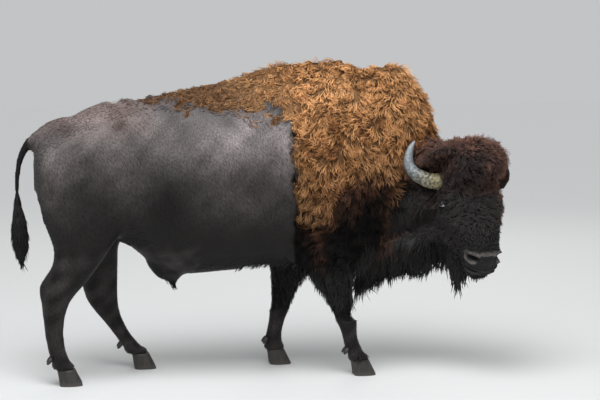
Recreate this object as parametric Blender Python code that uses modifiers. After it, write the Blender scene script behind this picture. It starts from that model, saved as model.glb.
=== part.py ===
"""American bison bull, standing with its head turned to its right, as a life-size museum model.

The outline is that of the coat, out to the tips of the hair. +X is forward, +Y is the animal's
left and +Z is up, in metres. The hooves stand on Z = 0.

The body is modelled whole: lofted trunk, neck, head and legs and ellipsoid muscle masses are fused
by a voxel remesh, and the result is parted by thin cuts into the parts a person would name.
Masses of long hair (crown, beard, chest mane) lie on the flesh and meet it with a small gap.
"""

import math

import bmesh
import bpy
import numpy as np
from mathutils import Matrix, Vector

# ---------------------------------------------------------------- driving dimensions
GAP = 0.0004  # between neighbouring solids
BODY_VOXEL = 0.017
HEAD_VOXEL = 0.012
BODY_TRIANGLES = 2500
HEAD_TRIANGLES = 760
SECTION_POINTS = 32

CORONET_HEIGHT = 0.092  # where hair ends and horn of the hoof begins
FORE_LEG_CUT = 0.600  # just under the brisket
HIND_LEG_CUT = 0.735  # just under the groin
FORE_KNEE_CUT = 0.330
HIND_HOCK_CUT = 0.440

HEAD_ORIGIN = Vector((0.902, -0.250, 1.143))  # midway between the horn bases
HEAD_HEADING = math.radians(-79.0)  # from +X, turned to the animal's right
HEAD_PITCH = math.radians(59.0)  # how far the face hangs below the horizon
NECK_PLANE_NORMAL = Vector((0.62, -0.68, -0.38)).normalized()
NECK_PLANE_OFFSET = -0.150  # from the head's origin, along that normal
BEARD_PLANE_POINT = Vector((0.775, -0.190, 0.700))  # between the mane and the beard
BEARD_PLANE_NORMAL = Vector((0.8, -0.6, 0.0))

EYE_PLACE = (0.176, 0.004, 0.198)  # along the face, out of the forehead, to the side
EYE_RADIUS = 0.021

COLLECTION_NAME = "american_bison"

# ---------------------------------------------------------------- sections of the trunk
# x, top, bottom, height of the widest level, half width, sharpness above, sharpness below
TRUNK_SECTIONS = (
    (-1.515, 1.270, 1.060, 1.170, 0.060, 1.00, 1.00),
    (-1.470, 1.360, 0.960, 1.160, 0.170, 1.00, 1.00),
    (-1.380, 1.440, 0.860, 1.150, 0.230, 1.00, 1.00),
    (-1.250, 1.518, 0.810, 1.140, 0.265, 1.00, 1.00),
    (-1.120, 1.572, 0.790, 1.130, 0.285, 1.05, 1.00),
    (-0.980, 1.595, 0.740, 1.110, 0.295, 1.12, 1.00),
    (-0.850, 1.622, 0.640, 1.070, 0.312, 1.18, 1.00),
    (-0.700, 1.655, 0.580, 1.030, 0.335, 1.22, 0.92),
    (-0.450, 1.705, 0.588, 1.020, 0.350, 1.30, 0.90),
    (-0.200, 1.785, 0.610, 1.040, 0.345, 1.42, 0.92),
    (0.000, 1.815, 0.620, 1.070, 0.335, 1.55, 0.98),
    (0.200, 1.826, 0.622, 1.090, 0.325, 1.60, 1.05),
    (0.360, 1.785, 0.630, 1.110, 0.285, 1.50, 1.10),
    (0.500, 1.700, 0.660, 1.120, 0.230, 1.30, 1.10),
    (0.620, 1.520, 0.740, 1.120, 0.170, 1.10, 1.00),
)

# ---------------------------------------------------------------- sections of the legs
# height, rear edge, front edge, middle across, half width across
LEG_SECTIONS = {
    "fore_right": (
        (0.900, -0.060, 0.360, -0.170, 0.120),
        (0.780, -0.050, 0.350, -0.190, 0.120),
        (0.660, -0.030, 0.335, -0.195, 0.112),
        (0.566, 0.014, 0.318, -0.195, 0.100),
        (0.447, 0.093, 0.312, -0.192, 0.083),
        (0.360, 0.138, 0.312, -0.190, 0.070),
        (0.290, 0.182, 0.305, -0.188, 0.058),
        (0.235, 0.203, 0.306, -0.188, 0.050),
        (0.180, 0.216, 0.320, -0.188, 0.051),
        (0.130, 0.236, 0.345, -0.188, 0.053),
        (0.085, 0.262, 0.372, -0.188, 0.056),
    ),
    "fore_left": (
        (0.900, -0.180, 0.260, 0.170, 0.120),
        (0.780, -0.190, 0.220, 0.190, 0.120),
        (0.660, -0.185, 0.160, 0.195, 0.112),
        (0.566, -0.165, 0.110, 0.195, 0.100),
        (0.446, -0.160, 0.035, 0.192, 0.083),
        (0.370, -0.163, 0.008, 0.190, 0.070),
        (0.294, -0.160, -0.040, 0.188, 0.057),
        (0.224, -0.170, -0.063, 0.188, 0.050),
        (0.170, -0.182, -0.074, 0.188, 0.051),
        (0.125, -0.184, -0.070, 0.188, 0.053),
        (0.085, -0.178, -0.060, 0.188, 0.056),
    ),
    "hind_right": (
        (1.050, -1.500, -0.960, -0.150, 0.130),
        (0.920, -1.470, -0.990, -0.175, 0.130),
        (0.800, -1.425, -1.055, -0.185, 0.112),
        (0.740, -1.412, -1.100, -0.188, 0.102),
        (0.668, -1.425, -1.150, -0.188, 0.088),
        (0.600, -1.475, -1.195, -0.188, 0.074),
        (0.547, -1.503, -1.238, -0.188, 0.066),
        (0.485, -1.492, -1.298, -0.188, 0.058),
        (0.400, -1.480, -1.338, -0.188, 0.051),
        (0.290, -1.470, -1.352, -0.188, 0.047),
        (0.190, -1.452, -1.340, -0.188, 0.050),
        (0.135, -1.438, -1.318, -0.188, 0.053),
        (0.085, -1.415, -1.292, -0.188, 0.056),
    ),
    "hind_left": (
        (1.050, -1.440, -0.930, 0.150, 0.130),
        (0.920, -1.410, -0.950, 0.175, 0.130),
        (0.800, -1.360, -0.990, 0.185, 0.112),
        (0.730, -1.330, -1.020, 0.188, 0.100),
        (0.620, -1.290, -1.028, 0.188, 0.082),
        (0.530, -1.262, -1.030, 0.188, 0.070),
        (0.460, -1.245, -1.032, 0.188, 0.064),
        (0.400, -1.222, -1.030, 0.188, 0.058),
        (0.340, -1.180, -1.022, 0.188, 0.053),
        (0.280, -1.130, -1.000, 0.188, 0.049),
        (0.220, -1.085, -0.970, 0.188, 0.048),
        (0.165, -1.045, -0.930, 0.188, 0.050),
        (0.125, -1.018, -0.893, 0.188, 0.053),
        (0.085, -0.985, -0.858, 0.188, 0.056),
    ),
}

# ---------------------------------------------------------------- muscle masses
# middle, half sizes along x, y and z; a pair is mirrored to the left
PAIRED_MASSES = (
    ((-1.395, -0.135, 1.170), (0.118, 0.115, 0.200)),  # buttock
    ((-1.190, -0.165, 1.130), (0.270, 0.135, 0.330)),  # haunch
    ((-0.935, -0.165, 1.385), (0.220, 0.070, 0.130)),  # hip bone
    ((0.130, -0.205, 1.060), (0.280, 0.160, 0.340)),  # shoulder
    ((0.320, -0.170, 0.850), (0.150, 0.105, 0.220)),  # point of the shoulder
    ((-0.010, -0.185, 0.760), (0.140, 0.085, 0.150)),  # elbow
)
NECK_MASSES = (
    ((0.485, 0.020, 1.310), (0.345, 0.245, 0.485)),  # mane over the neck
    ((0.555, 0.000, 1.640), (0.130, 0.110, 0.160)),  # crest before the hump
    ((0.550, 0.000, 0.980), (0.310, 0.215, 0.345)),  # throat
    ((0.750, -0.095, 1.080), (0.205, 0.190, 0.290)),  # nape
)
GROIN_MASS = ((-1.165, 0.000, 0.830), (0.085, 0.070, 0.085))

# ---------------------------------------------------------------- head, in its own axes
# along the face, forehead side, throat side, half width, sharpness above, sharpness below
HEAD_SECTIONS = (
    (-0.150, 0.000, -0.140, 0.080, 1.0, 1.0),
    (-0.110, 0.045, -0.190, 0.135, 1.0, 1.0),
    (-0.040, 0.085, -0.235, 0.165, 0.9, 1.0),
    (0.050, 0.130, -0.262, 0.196, 0.85, 1.0),
    (0.150, 0.138, -0.262, 0.205, 0.80, 1.0),
    (0.222, 0.130, -0.245, 0.194, 0.80, 1.0),
    (0.290, 0.112, -0.220, 0.167, 0.80, 1.0),
    (0.360, 0.090, -0.190, 0.134, 0.80, 0.9),
    (0.430, 0.076, -0.165, 0.110, 0.8, 0.8),
    (0.495, 0.062, -0.156, 0.102, 0.8, 0.75),
    (0.545, 0.035, -0.162, 0.092, 0.8, 0.8),
    (0.588, -0.014, -0.150, 0.064, 0.9, 0.9),
)
BROW_MASS = ((0.140, 0.045, 0.115), (0.085, 0.060, 0.070))
CHEEK_MASS = ((0.170, -0.140, 0.090), (0.150, 0.110, 0.085))
HORN_CORE_MASS = ((0.000, -0.010, 0.130), (0.062, 0.062, 0.060))
NOSE_PAD_MASS = ((0.495, 0.020, 0.045), (0.048, 0.050, 0.055))

# ---------------------------------------------------------------- hair masses
CROWN_MASS = ((-0.020, 0.060, -0.004), (0.180, 0.240, 0.284))
CROWN_LOBE = ((-0.112, -0.020, 0.136), (0.142, 0.142, 0.114))  # one on each side, inside the horn
CROWN_TRIANGLES = 620
# hair hanging under the neck and brisket
CHEST_MANE_SECTIONS = (
    # x, top, bottom, widest level, half width, sharpness above, sharpness below
    (0.300, 0.760, 0.560, 0.680, 0.080, 1.0, 1.2),
    (0.345, 0.800, 0.485, 0.700, 0.130, 1.0, 1.3),
    (0.420, 0.840, 0.500, 0.720, 0.165, 1.0, 1.3),
    (0.540, 0.860, 0.532, 0.740, 0.180, 1.0, 1.3),
    (0.670, 0.880, 0.560, 0.760, 0.180, 1.0, 1.3),
    (0.770, 0.900, 0.595, 0.780, 0.160, 1.0, 1.2),
    (0.840, 0.880, 0.660, 0.790, 0.080, 1.0, 1.0),
)
MANE_DRIFT = 0.45  # how fast the mane swings over to the right towards the head
BEARD_SWING = 0.050  # how far the beard hangs to the right of the chin
BEARD_PATH = (
    # along the head's heading, height, half length along the heading, half width
    (-0.010, 0.840, 0.150, 0.120),
    (-0.005, 0.740, 0.150, 0.112),
    (0.010, 0.660, 0.120, 0.090),
    (0.030, 0.600, 0.085, 0.062),
    (0.040, 0.550, 0.048, 0.036),
    (0.045, 0.505, 0.010, 0.008),
)

# ---------------------------------------------------------------- horns, ears, tail
# along the face, out of the forehead, to the side, radius
HORN_PATH = (
    (0.010, -0.006, 0.085, 0.0470),
    (0.026, -0.014, 0.140, 0.0465),
    (0.013, -0.028, 0.200, 0.0450),
    (-0.014, -0.040, 0.242, 0.0415),
    (-0.042, -0.044, 0.278, 0.0375),
    (-0.086, -0.042, 0.302, 0.0315),
    (-0.132, -0.030, 0.304, 0.0260),
    (-0.176, -0.012, 0.290, 0.0190),
    (-0.200, 0.002, 0.276, 0.0120),
    (-0.218, 0.012, 0.262, 0.0040),
)
# along the face, out of the forehead, to the side, half width, half thickness
EAR_PATH = (
    (0.055, -0.115, 0.120, 0.020, 0.016),
    (0.052, -0.140, 0.165, 0.032, 0.017),
    (0.046, -0.160, 0.205, 0.042, 0.015),
    (0.040, -0.178, 0.245, 0.038, 0.012),
    (0.036, -0.194, 0.280, 0.024, 0.009),
    (0.034, -0.204, 0.302, 0.008, 0.005),
)
# x, z, radius
TUFT_TOP = 1.050
TAIL_PATH = (
    (-1.300, 1.450, 0.046),
    (-1.385, 1.440, 0.042),
    (-1.460, 1.398, 0.038),
    (-1.525, 1.345, 0.033),
    (-1.570, 1.275, 0.027),
    (-1.592, 1.200, 0.023),
    (-1.598, 1.125, 0.021),
    (-1.600, 1.050, 0.022),
    (-1.597, 0.980, 0.036),
    (-1.592, 0.890, 0.052),
    (-1.588, 0.810, 0.056),
    (-1.583, 0.730, 0.042),
    (-1.578, 0.655, 0.008),
)
# height, rear edge, front edge, half width
SHEATH_SECTIONS = (
    (0.640, -0.900, -0.640, 0.080),
    (0.575, -0.850, -0.680, 0.052),
    (0.530, -0.800, -0.688, 0.036),
    (0.495, -0.765, -0.690, 0.026),
    (0.470, -0.742, -0.700, 0.014),
)

# ---------------------------------------------------------------- hooves
CLAW_LENGTH = 0.128
CLAW_WIDTH = 0.054
CLAW_TOP_LENGTH = 0.098
CLAW_TOP_WIDTH = 0.043
CLAW_TOP_SETBACK = 0.042  # the front wall slopes back by this much
CLAW_SPACING = 0.0285  # from the middle of the hoof to the middle of a claw
DEWCLAW_LENGTH = 0.034
DEWCLAW_RADIUS = 0.0125
FAR_HORN_TUCK = 0.91  # the left horn stands a little closer in, behind the bonnet
# toe tip x of each foot, at the sole
TOE_TIPS = {"fore_right": 0.405, "fore_left": -0.026, "hind_right": -1.258, "hind_left": -0.822}

# ---------------------------------------------------------------- finishes
FINISHES = {
    # colour, roughness
    "coat_black": ((0.030, 0.024, 0.022), 0.75),
    "coat_brown": ((0.060, 0.046, 0.040), 0.70),
    "cape_tan": ((0.300, 0.145, 0.055), 0.85),
    "horn_grey": ((0.230, 0.220, 0.190), 0.40),
    "hoof_black": ((0.035, 0.032, 0.030), 0.50),
    "eye_dark": ((0.020, 0.012, 0.008), 0.05),
}


# ================================================================ small tools
def smooth_rows(rows, count):
    """Rows of numbers, interpolated by a cubic through each column, evenly along the rows."""
    table = np.array(rows, float)
    last = len(table) - 1
    padded = np.vstack([2 * table[0] - table[1], table, 2 * table[-1] - table[-2]])
    result = []
    for t in np.linspace(0, last, count):
        i = min(int(t), last - 1)
        f = t - i
        p0, p1, p2, p3 = padded[i : i + 4]
        result.append(
            p1
            + 0.5 * f * (p2 - p0 + f * (2 * p0 - 5 * p1 + 4 * p2 - p3 + f * (3 * (p1 - p2) + p3 - p0)))
        )
    return np.array(result)


def new_object(name, mesh):
    obj = bpy.data.objects.new(name, mesh)
    bpy.context.scene.collection.objects.link(obj)
    return obj


def loft(name, rings):
    """A closed skin of triangles over rings of equally many points, with flat ends."""
    mesh = bpy.data.meshes.new(name)
    bm = bmesh.new()
    rows = [[bm.verts.new(p) for p in ring] for ring in rings]
    count = len(rows[0])
    for low, high in zip(rows, rows[1:]):
        for i in range(count):
            j = (i + 1) % count
            bm.faces.new((low[i], low[j], high[j], high[i]))
    bm.faces.new(rows[0][::-1])
    bm.faces.new(rows[-1])
    bmesh.ops.triangulate(bm, faces=bm.faces)
    bmesh.ops.recalc_face_normals(bm, faces=bm.faces)
    bm.to_mesh(mesh)
    bm.free()
    return new_object(name, mesh)


def oval(count, sharp_up=1.0, sharp_down=1.0):
    """Points round a unit oval as (across, up). Sharpness over 1 narrows that half to a keel."""
    points = []
    for i in range(count):
        turn = 2 * math.pi * i / count
        across, up = math.cos(turn), math.sin(turn)
        sharp = sharp_up if up > 0 else sharp_down
        points.append((math.copysign(abs(across) ** sharp, across), up))
    return points


def keeled_section(section, count=SECTION_POINTS):
    """(across, up) points of a section with its own depth above and below its widest level."""
    top, bottom, middle, half_width, sharp_up, sharp_down = section
    return [
        (half_width * across, middle + up * ((top - middle) if up > 0 else (middle - bottom)))
        for across, up in oval(count, sharp_up, sharp_down)
    ]


def ellipsoid(name, middle, half_sizes, axes=None):
    """An egg of these half sizes, along the world's axes or along the columns of axes."""
    bpy.ops.mesh.primitive_uv_sphere_add(segments=20, ring_count=11, radius=1.0)
    obj = bpy.context.object
    obj.name = name
    turn = (axes or Matrix.Identity(3)).to_4x4()
    obj.data.transform(Matrix.Translation(middle) @ turn @ Matrix.Diagonal((*half_sizes, 1.0)))
    return obj


def tube(name, points, radii, sides, flatten=1.0, side_axis=None):
    """A tapering tube along points; flatten thins it across side_axis."""
    rings = []
    for i, point in enumerate(points):
        ahead = points[min(i + 1, len(points) - 1)]
        behind = points[max(i - 1, 0)]
        along = (ahead - behind).normalized()
        across = (side_axis or Vector((0, 1, 0))).cross(along).normalized()
        third = along.cross(across)
        rings.append(
            [
                point
                + radii[i] * (math.cos(turn) * across + flatten * math.sin(turn) * third)
                for turn in (2 * math.pi * k / sides for k in range(sides))
            ]
        )
    return loft(name, rings)


def mirrored(place):
    return (place[0], -place[1], place[2])


def evaluated_mesh(obj):
    graph = bpy.context.evaluated_depsgraph_get()
    return bpy.data.meshes.new_from_object(obj.evaluated_get(graph), depsgraph=graph)


def bake_modifiers(obj):
    """Replaces the object's mesh by what its modifiers make of it."""
    mesh = evaluated_mesh(obj)
    obj.modifiers.clear()
    obj.data = mesh


def remove(objects):
    for obj in objects:
        bpy.data.objects.remove(obj)


def joined(name, objects):
    """One object holding copies of all these meshes; the originals go."""
    bm = bmesh.new()
    for obj in objects:
        bm.from_mesh(obj.data)
    mesh = bpy.data.meshes.new(name)
    bm.to_mesh(mesh)
    bm.free()
    remove(objects)
    return new_object(name, mesh)


def fused(name, source, voxel, rounds, triangles):
    """The source's overlapping shells as one smooth closed skin of about this many triangles."""
    obj = new_object(name, source.data.copy())
    remesh = obj.modifiers.new("fuse", "REMESH")
    remesh.mode = "VOXEL"
    remesh.voxel_size = voxel
    smooth = obj.modifiers.new("blend", "SMOOTH")
    smooth.factor = 0.5
    smooth.iterations = rounds
    bake_modifiers(obj)
    triangulate = obj.modifiers.new("facets", "TRIANGULATE")
    triangulate.quad_method = "SHORTEST_DIAGONAL"
    bake_modifiers(obj)
    thin = obj.modifiers.new("facets", "DECIMATE")
    thin.ratio = min(1.0, triangles / len(obj.data.polygons))
    bake_modifiers(obj)
    return obj


def swollen(name, obj, amount):
    """A copy of obj, moved out by amount, for cutting a neighbour with a small gap."""
    copy = new_object(name, obj.data.copy())
    displace = copy.modifiers.new("swell", "DISPLACE")
    displace.strength = amount
    displace.mid_level = 0.0
    bake_modifiers(copy)
    return copy


def cut_away(obj, cutter):
    boolean = obj.modifiers.new("cut", "BOOLEAN")
    boolean.operation = "DIFFERENCE"
    boolean.object = cutter
    bake_modifiers(obj)


def boxes_meet(one, other):
    """True if the two meshes' bounding boxes overlap."""
    a = np.array([v.co for v in one.data.vertices])
    b = np.array([v.co for v in other.data.vertices])
    return bool((a.min(0) < b.max(0)).all() and (b.min(0) < a.max(0)).all())


def keep_side(obj, point, normal):
    """Keeps what lies on the side that normal points to, and closes the cut."""
    bm = bmesh.new()
    bm.from_mesh(obj.data)
    everything = bm.verts[:] + bm.edges[:] + bm.faces[:]
    cut = bmesh.ops.bisect_plane(
        bm, geom=everything, plane_co=point, plane_no=normal, clear_inner=True, dist=1e-6
    )
    rim = [e for e in cut["geom_cut"] if isinstance(e, bmesh.types.BMEdge)]
    bmesh.ops.holes_fill(bm, edges=rim, sides=0)
    bmesh.ops.triangulate(bm, faces=bm.faces)
    bmesh.ops.recalc_face_normals(bm, faces=bm.faces)
    bm.to_mesh(obj.data)
    bm.free()


def loose_parts(obj):
    """The separate bodies of obj, each as an object of its own."""
    bpy.ops.object.select_all(action="DESELECT")
    obj.select_set(True)
    bpy.context.view_layer.objects.active = obj
    bpy.ops.mesh.separate(type="LOOSE")
    return list(bpy.context.selected_objects)


def keep_largest(obj):
    """Drops the crumbs that cutting may leave beside the main body of obj."""
    name = obj.name
    parts = loose_parts(obj)
    parts.sort(key=lambda part: -len(part.data.polygons))
    crumbs = parts[1:]
    if parts[0] is not obj:
        obj.data = parts[0].data
        crumbs = [part for part in parts if part is not obj]
    remove(crumbs)
    obj.name = name


def holds(obj, point):
    """True if point lies inside the closed mesh, by counting the faces above it."""
    count = 0
    origin = Vector(point)
    for _ in range(64):
        hit, where, _, _ = obj.ray_cast(origin, Vector((0.0012, 0.0007, 1.0)).normalized())
        if not hit:
            break
        count += 1
        origin = where + Vector((0, 0, 1e-5))
    return count % 2 == 1


# ================================================================ head's own axes
def head_axes():
    """Columns: along the face to the nose, out of the forehead, and to the animal's right."""
    level = Vector((math.cos(HEAD_HEADING), math.sin(HEAD_HEADING), 0.0))
    along = level * math.cos(HEAD_PITCH) + Vector((0, 0, -math.sin(HEAD_PITCH)))
    out = level * math.sin(HEAD_PITCH) + Vector((0, 0, math.cos(HEAD_PITCH)))
    right = Vector((math.sin(HEAD_HEADING), -math.cos(HEAD_HEADING), 0.0))
    return Matrix((along, out, right)).transposed()


HEAD_AXES = head_axes()


def in_head(along, out, right=0.0):
    return HEAD_ORIGIN + HEAD_AXES @ Vector((along, out, right))


def head_mass(name, mass, side=1):
    (along, out, right), half_sizes = mass
    return ellipsoid(name, in_head(along, out, side * right), half_sizes, HEAD_AXES)


# ================================================================ flesh
def trunk():
    rings = []
    for x, *section in smooth_rows(TRUNK_SECTIONS, 60).tolist():
        rings.append([Vector((x, across, up)) for across, up in keeled_section(section)])
    return loft("trunk_form", rings)


def leg(name, piece, low, high, levels, sides):
    """The leg's form between two heights."""
    rows = smooth_rows(LEG_SECTIONS[name], 80)[::-1]
    rings = []
    for z in np.linspace(low, high, levels).tolist():
        rear, front, middle, half_width = (
            float(np.interp(z, rows[:, 0], rows[:, k])) for k in (1, 2, 3, 4)
        )
        centre, half_length = (rear + front) / 2, (front - rear) / 2
        rings.append(
            [
                Vector((centre + half_length * along, middle + half_width * across, z))
                for along, across in oval(sides, 0.9, 0.9)
            ]
        )
    return loft(piece, rings)


def lower_cut(name):
    return FORE_KNEE_CUT if name.startswith("fore") else HIND_HOCK_CUT


def upper_leg_form(name):
    top = LEG_SECTIONS[name][0][0]
    return leg(name, name + "_form", lower_cut(name) - 0.08, top, 40, SECTION_POINTS)


def lower_leg(name):
    piece = name + "_lower_leg"
    return leg(name, piece, CORONET_HEIGHT, lower_cut(name) - GAP / 2, 10, 12)


def sheath():
    rings = []
    for z, rear, front, half_width in smooth_rows(SHEATH_SECTIONS, 12).tolist():
        centre, half_length = (rear + front) / 2, (front - rear) / 2
        rings.append(
            [
                Vector((centre + half_length * along, half_width * across, z))
                for along, across in oval(16)
            ]
        )
    return loft("sheath_form", rings)


def tail_and_tuft():
    """The tail's whole run, cut across where the long hair of its tuft begins."""
    rows = smooth_rows(TAIL_PATH, 20)
    points = [Vector((x, 0, z)) for x, z, _ in rows]
    pieces = [tube(name, points, rows[:, 2].tolist(), 8) for name in ("tail", "tail_tuft")]
    for piece, way in zip(pieces, (1, -1)):
        keep_side(piece, Vector((0, 0, TUFT_TOP + way * GAP / 2)), Vector((0, 0, way)))
    return pieces


def head():
    rings = []
    for along, *section in smooth_rows(HEAD_SECTIONS, 40).tolist():
        out_side, throat_side, half_width, sharp_up, sharp_down = section
        middle = 0.35 * out_side + 0.65 * (out_side + throat_side) / 2
        outline = keeled_section(
            (out_side, throat_side, middle, half_width, sharp_up, sharp_down)
        )
        rings.append([in_head(along, out, right) for right, out in outline])
    return loft("head_form", rings)


def all_flesh():
    shapes = [trunk(), sheath(), head(), *(upper_leg_form(name) for name in LEG_SECTIONS)]
    for middle, half_sizes in PAIRED_MASSES:
        shapes.append(ellipsoid("muscle", middle, half_sizes))
        shapes.append(ellipsoid("muscle", mirrored(middle), half_sizes))
    for middle, half_sizes in (*NECK_MASSES, GROIN_MASS):
        shapes.append(ellipsoid("mass", middle, half_sizes))
    for mass in (BROW_MASS, CHEEK_MASS, HORN_CORE_MASS, NOSE_PAD_MASS):
        shapes += [head_mass("mass", mass, side) for side in (1, -1)]
    return joined("flesh_form", shapes)


# ================================================================ parting the body
def slab(middle, normal, side_a, side_b, turn=0.0):
    """A thin cutter of this middle, facing normal, with sides of these lengths."""
    bpy.ops.mesh.primitive_cube_add(size=1.0)
    obj = bpy.context.object
    facing = Vector(normal).normalized().to_track_quat("Z", "Y").to_matrix().to_4x4()
    obj.data.transform(
        Matrix.Translation(middle)
        @ facing
        @ Matrix.Rotation(turn, 4, "Z")
        @ Matrix.Diagonal((side_a, side_b, GAP, 1.0))
    )
    return obj


def body_cuts():
    """Every thin cutter that parts the body, all clear of what they must not cut."""
    cuts = [
        slab((0.490, 0.0, 1.25), (0.96, 0.0, -0.28), 1.354, 1.354),  # neck from shoulders
        slab((-0.170, 0.0, 1.25), (1.0, 0.0, 0.0), 1.4, 1.4),  # shoulders from barrel
        slab((-0.900, 0.0, 1.25), (1.0, 0.0, 0.0), 1.4, 1.4),  # barrel from hindquarters
        slab((-0.770, 0.0, 0.555), (0.0, 0.0, 1.0), 0.30, 0.30),  # sheath from barrel
    ]
    for name, sections in LEG_SECTIONS.items():
        fore = name.startswith("fore")
        middle = sections[4][3]
        height = FORE_LEG_CUT if fore else HIND_LEG_CUT
        rows = np.array(sections)[::-1]
        rear = np.interp(height, rows[:, 0], rows[:, 1])
        front = np.interp(height, rows[:, 0], rows[:, 2])
        cuts.append(
            slab(((rear + front) / 2, middle, height), (0, 0, 1), front - rear + 0.14, 0.36)
        )
    return cuts


def clear_below(body, rear_end, front_end, height):
    """Takes away everything of the body below a height, between two ends."""
    bpy.ops.mesh.primitive_cube_add(size=1.0)
    cutter = bpy.context.object
    size = (front_end - rear_end, 1.2, height + GAP / 2)
    middle = ((front_end + rear_end) / 2, 0.0, (height + GAP / 2) / 2)
    cutter.data.transform(Matrix.Translation(middle) @ Matrix.Diagonal((*size, 1.0)))
    cut_away(body, cutter)
    remove([cutter])


PART_ANCHORS = {
    "neck": (0.60, 0.0, 1.20),
    "shoulders": (0.15, 0.0, 1.30),
    "barrel": (-0.50, 0.0, 1.10),
    "hindquarters": (-1.15, 0.0, 1.20),
    "sheath": (-0.745, 0.0, 0.520),
    "fore_right_upper_leg": (0.210, -0.192, 0.450),
    "fore_left_upper_leg": (-0.060, 0.192, 0.450),
    "hind_right_upper_leg": (-1.330, -0.188, 0.600),
    "hind_left_upper_leg": (-1.150, 0.188, 0.600),
}


def part_body(body):
    """Cuts the fused body and names each piece by the anchor that it holds."""
    for cutter in body_cuts():
        cut_away(body, cutter)
        remove([cutter])
    pieces = loose_parts(body)
    named = {}
    for name, anchor in PART_ANCHORS.items():
        found = [piece for piece in pieces if holds(piece, anchor)]
        if found:
            found[0].name = name
            named[name] = found[0]
            pieces.remove(found[0])
    remove(pieces)
    return named


# ================================================================ hair masses
def crown_hair():
    """The bonnet: a dome over the forehead that swells into a lobe inside each horn."""
    dome = head_mass("dome", CROWN_MASS)
    lobes = [head_mass("lobe", CROWN_LOBE, side) for side in (1, -1)]
    form = joined("crown_form", [dome, *lobes])
    crown = fused("crown_hair", form, BODY_VOXEL, 6, CROWN_TRIANGLES)
    remove([form])
    return crown


def chest_mane():
    rings = []
    for x, *section in smooth_rows(CHEST_MANE_SECTIONS, 8).tolist():
        rings.append(
            [
                Vector((x, across - MANE_DRIFT * max(0.0, x - 0.45), up))
                for across, up in keeled_section(section, 14)
            ]
        )
    return loft("chest_mane", rings)


def beard():
    level = Vector((math.cos(HEAD_HEADING), math.sin(HEAD_HEADING), 0.0))
    side = HEAD_AXES @ Vector((0.0, 0.0, 1.0))
    rings = []
    for along, height, length, width in smooth_rows(BEARD_PATH, 9).tolist():
        middle = Vector((HEAD_ORIGIN.x, HEAD_ORIGIN.y, height)) + level * along + side * BEARD_SWING
        rings.append([middle + level * length * a + side * width * b for a, b in oval(12)])
    return loft("beard", rings)


# ================================================================ horns, ears, eyes
def horn(side):
    rows = smooth_rows(HORN_PATH, 13)
    reach = side if side > 0 else side * FAR_HORN_TUCK
    points = [in_head(along, out, reach * right) for along, out, right, _ in rows]
    name = "horn_right" if side > 0 else "horn_left"
    return tube(name, points, rows[:, 3].tolist(), 10, 0.94, HEAD_AXES @ Vector((0, 1, 0)))


def ear(side):
    rings = []
    for along, out, right, half_width, half_thickness in smooth_rows(EAR_PATH, 9).tolist():
        middle = in_head(along, out, side * right)
        wide = HEAD_AXES @ Vector((1.0, 0.15, 0.0)).normalized()
        thick = HEAD_AXES @ Vector((-0.15, 0.85, 0.5 * side)).normalized()
        rings.append([middle + wide * half_width * a + thick * half_thickness * b for a, b in oval(10)])
    return loft("ear_right" if side > 0 else "ear_left", rings)


def eye(side):
    along, out, right = EYE_PLACE
    bpy.ops.mesh.primitive_uv_sphere_add(segments=10, ring_count=7, radius=EYE_RADIUS)
    obj = bpy.context.object
    obj.name = "eye_right" if side > 0 else "eye_left"
    obj.data.transform(Matrix.Translation(in_head(along, out, side * right)))
    return obj


# ================================================================ hooves
def claw_ring(length, width, front, height, bulge):
    """One level of a claw: straight inner side, rounded toe and heel. The toe is at front."""
    points = []
    for along, across in oval(12, 0.75, 0.75):
        wide = across * width / 2 * (1 + bulge * (along < 0) * 0.08)
        points.append(Vector((front - length / 2 + along * length / 2, wide, height)))
    return points


def claw(name, foot, side):
    """Half of a cloven hoof; side is +1 for the half towards +Y."""
    toe = TOE_TIPS[foot]
    middle = LEG_SECTIONS[foot][-1][3] + side * CLAW_SPACING
    top = CORONET_HEIGHT - GAP
    rings = []
    for height, share, bulge in ((0.0, 0.0, 1), (0.012, 0.06, 1), (0.045, 0.45, 1), (top, 1.0, 0)):
        length = CLAW_LENGTH + (CLAW_TOP_LENGTH - CLAW_LENGTH) * share
        width = CLAW_WIDTH + (CLAW_TOP_WIDTH - CLAW_WIDTH) * share
        ring = claw_ring(length, width, toe - CLAW_TOP_SETBACK * share, height, bulge)
        inward = Vector((0, side * (width - CLAW_WIDTH) / 2, 0))
        rings.append([point + inward for point in ring])
    obj = loft(name, rings)
    obj.data.transform(Matrix.Translation((0, middle, 0)))
    return obj


def dewclaw(name, foot, side):
    """A small false hoof behind the fetlock."""
    rows = np.array(LEG_SECTIONS[foot])[::-1]
    rear = np.interp(0.150, rows[:, 0], rows[:, 1])
    middle = rows[0, 3] + side * 0.024
    top = Vector((rear + 0.016, middle, 0.158))
    tip = Vector((rear - 0.012, middle + side * 0.006, 0.158 - DEWCLAW_LENGTH))
    points = [top.lerp(tip, t) for t in (0.0, 0.35, 0.75, 1.0)]
    radii = [DEWCLAW_RADIUS * k for k in (0.80, 1.0, 0.85, 0.35)]
    return tube(name, points, radii, 8)


# ================================================================ assembly
def material(name):
    colour, roughness = FINISHES[name]
    finish = bpy.data.materials.get(name)
    if finish is None:
        finish = bpy.data.materials.new(name)
        finish.use_nodes = True
        shader = finish.node_tree.nodes["Principled BSDF"]
        shader.inputs["Base Color"].default_value = (*colour, 1.0)
        shader.inputs["Roughness"].default_value = roughness
        finish.diffuse_color = (*colour, 1.0)
    return finish


FINISH_OF = {
    "neck": "cape_tan",
    "shoulders": "cape_tan",
    "barrel": "coat_brown",
    "hindquarters": "coat_brown",
    "horn": "horn_grey",
    "eye": "eye_dark",
    "claw": "hoof_black",
    "dewclaw": "hoof_black",
}


def finish_name(node):
    for word, finish in FINISH_OF.items():
        if word in node.replace("upper", "").split("_") or node == word:
            return finish
    return "coat_black"


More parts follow.
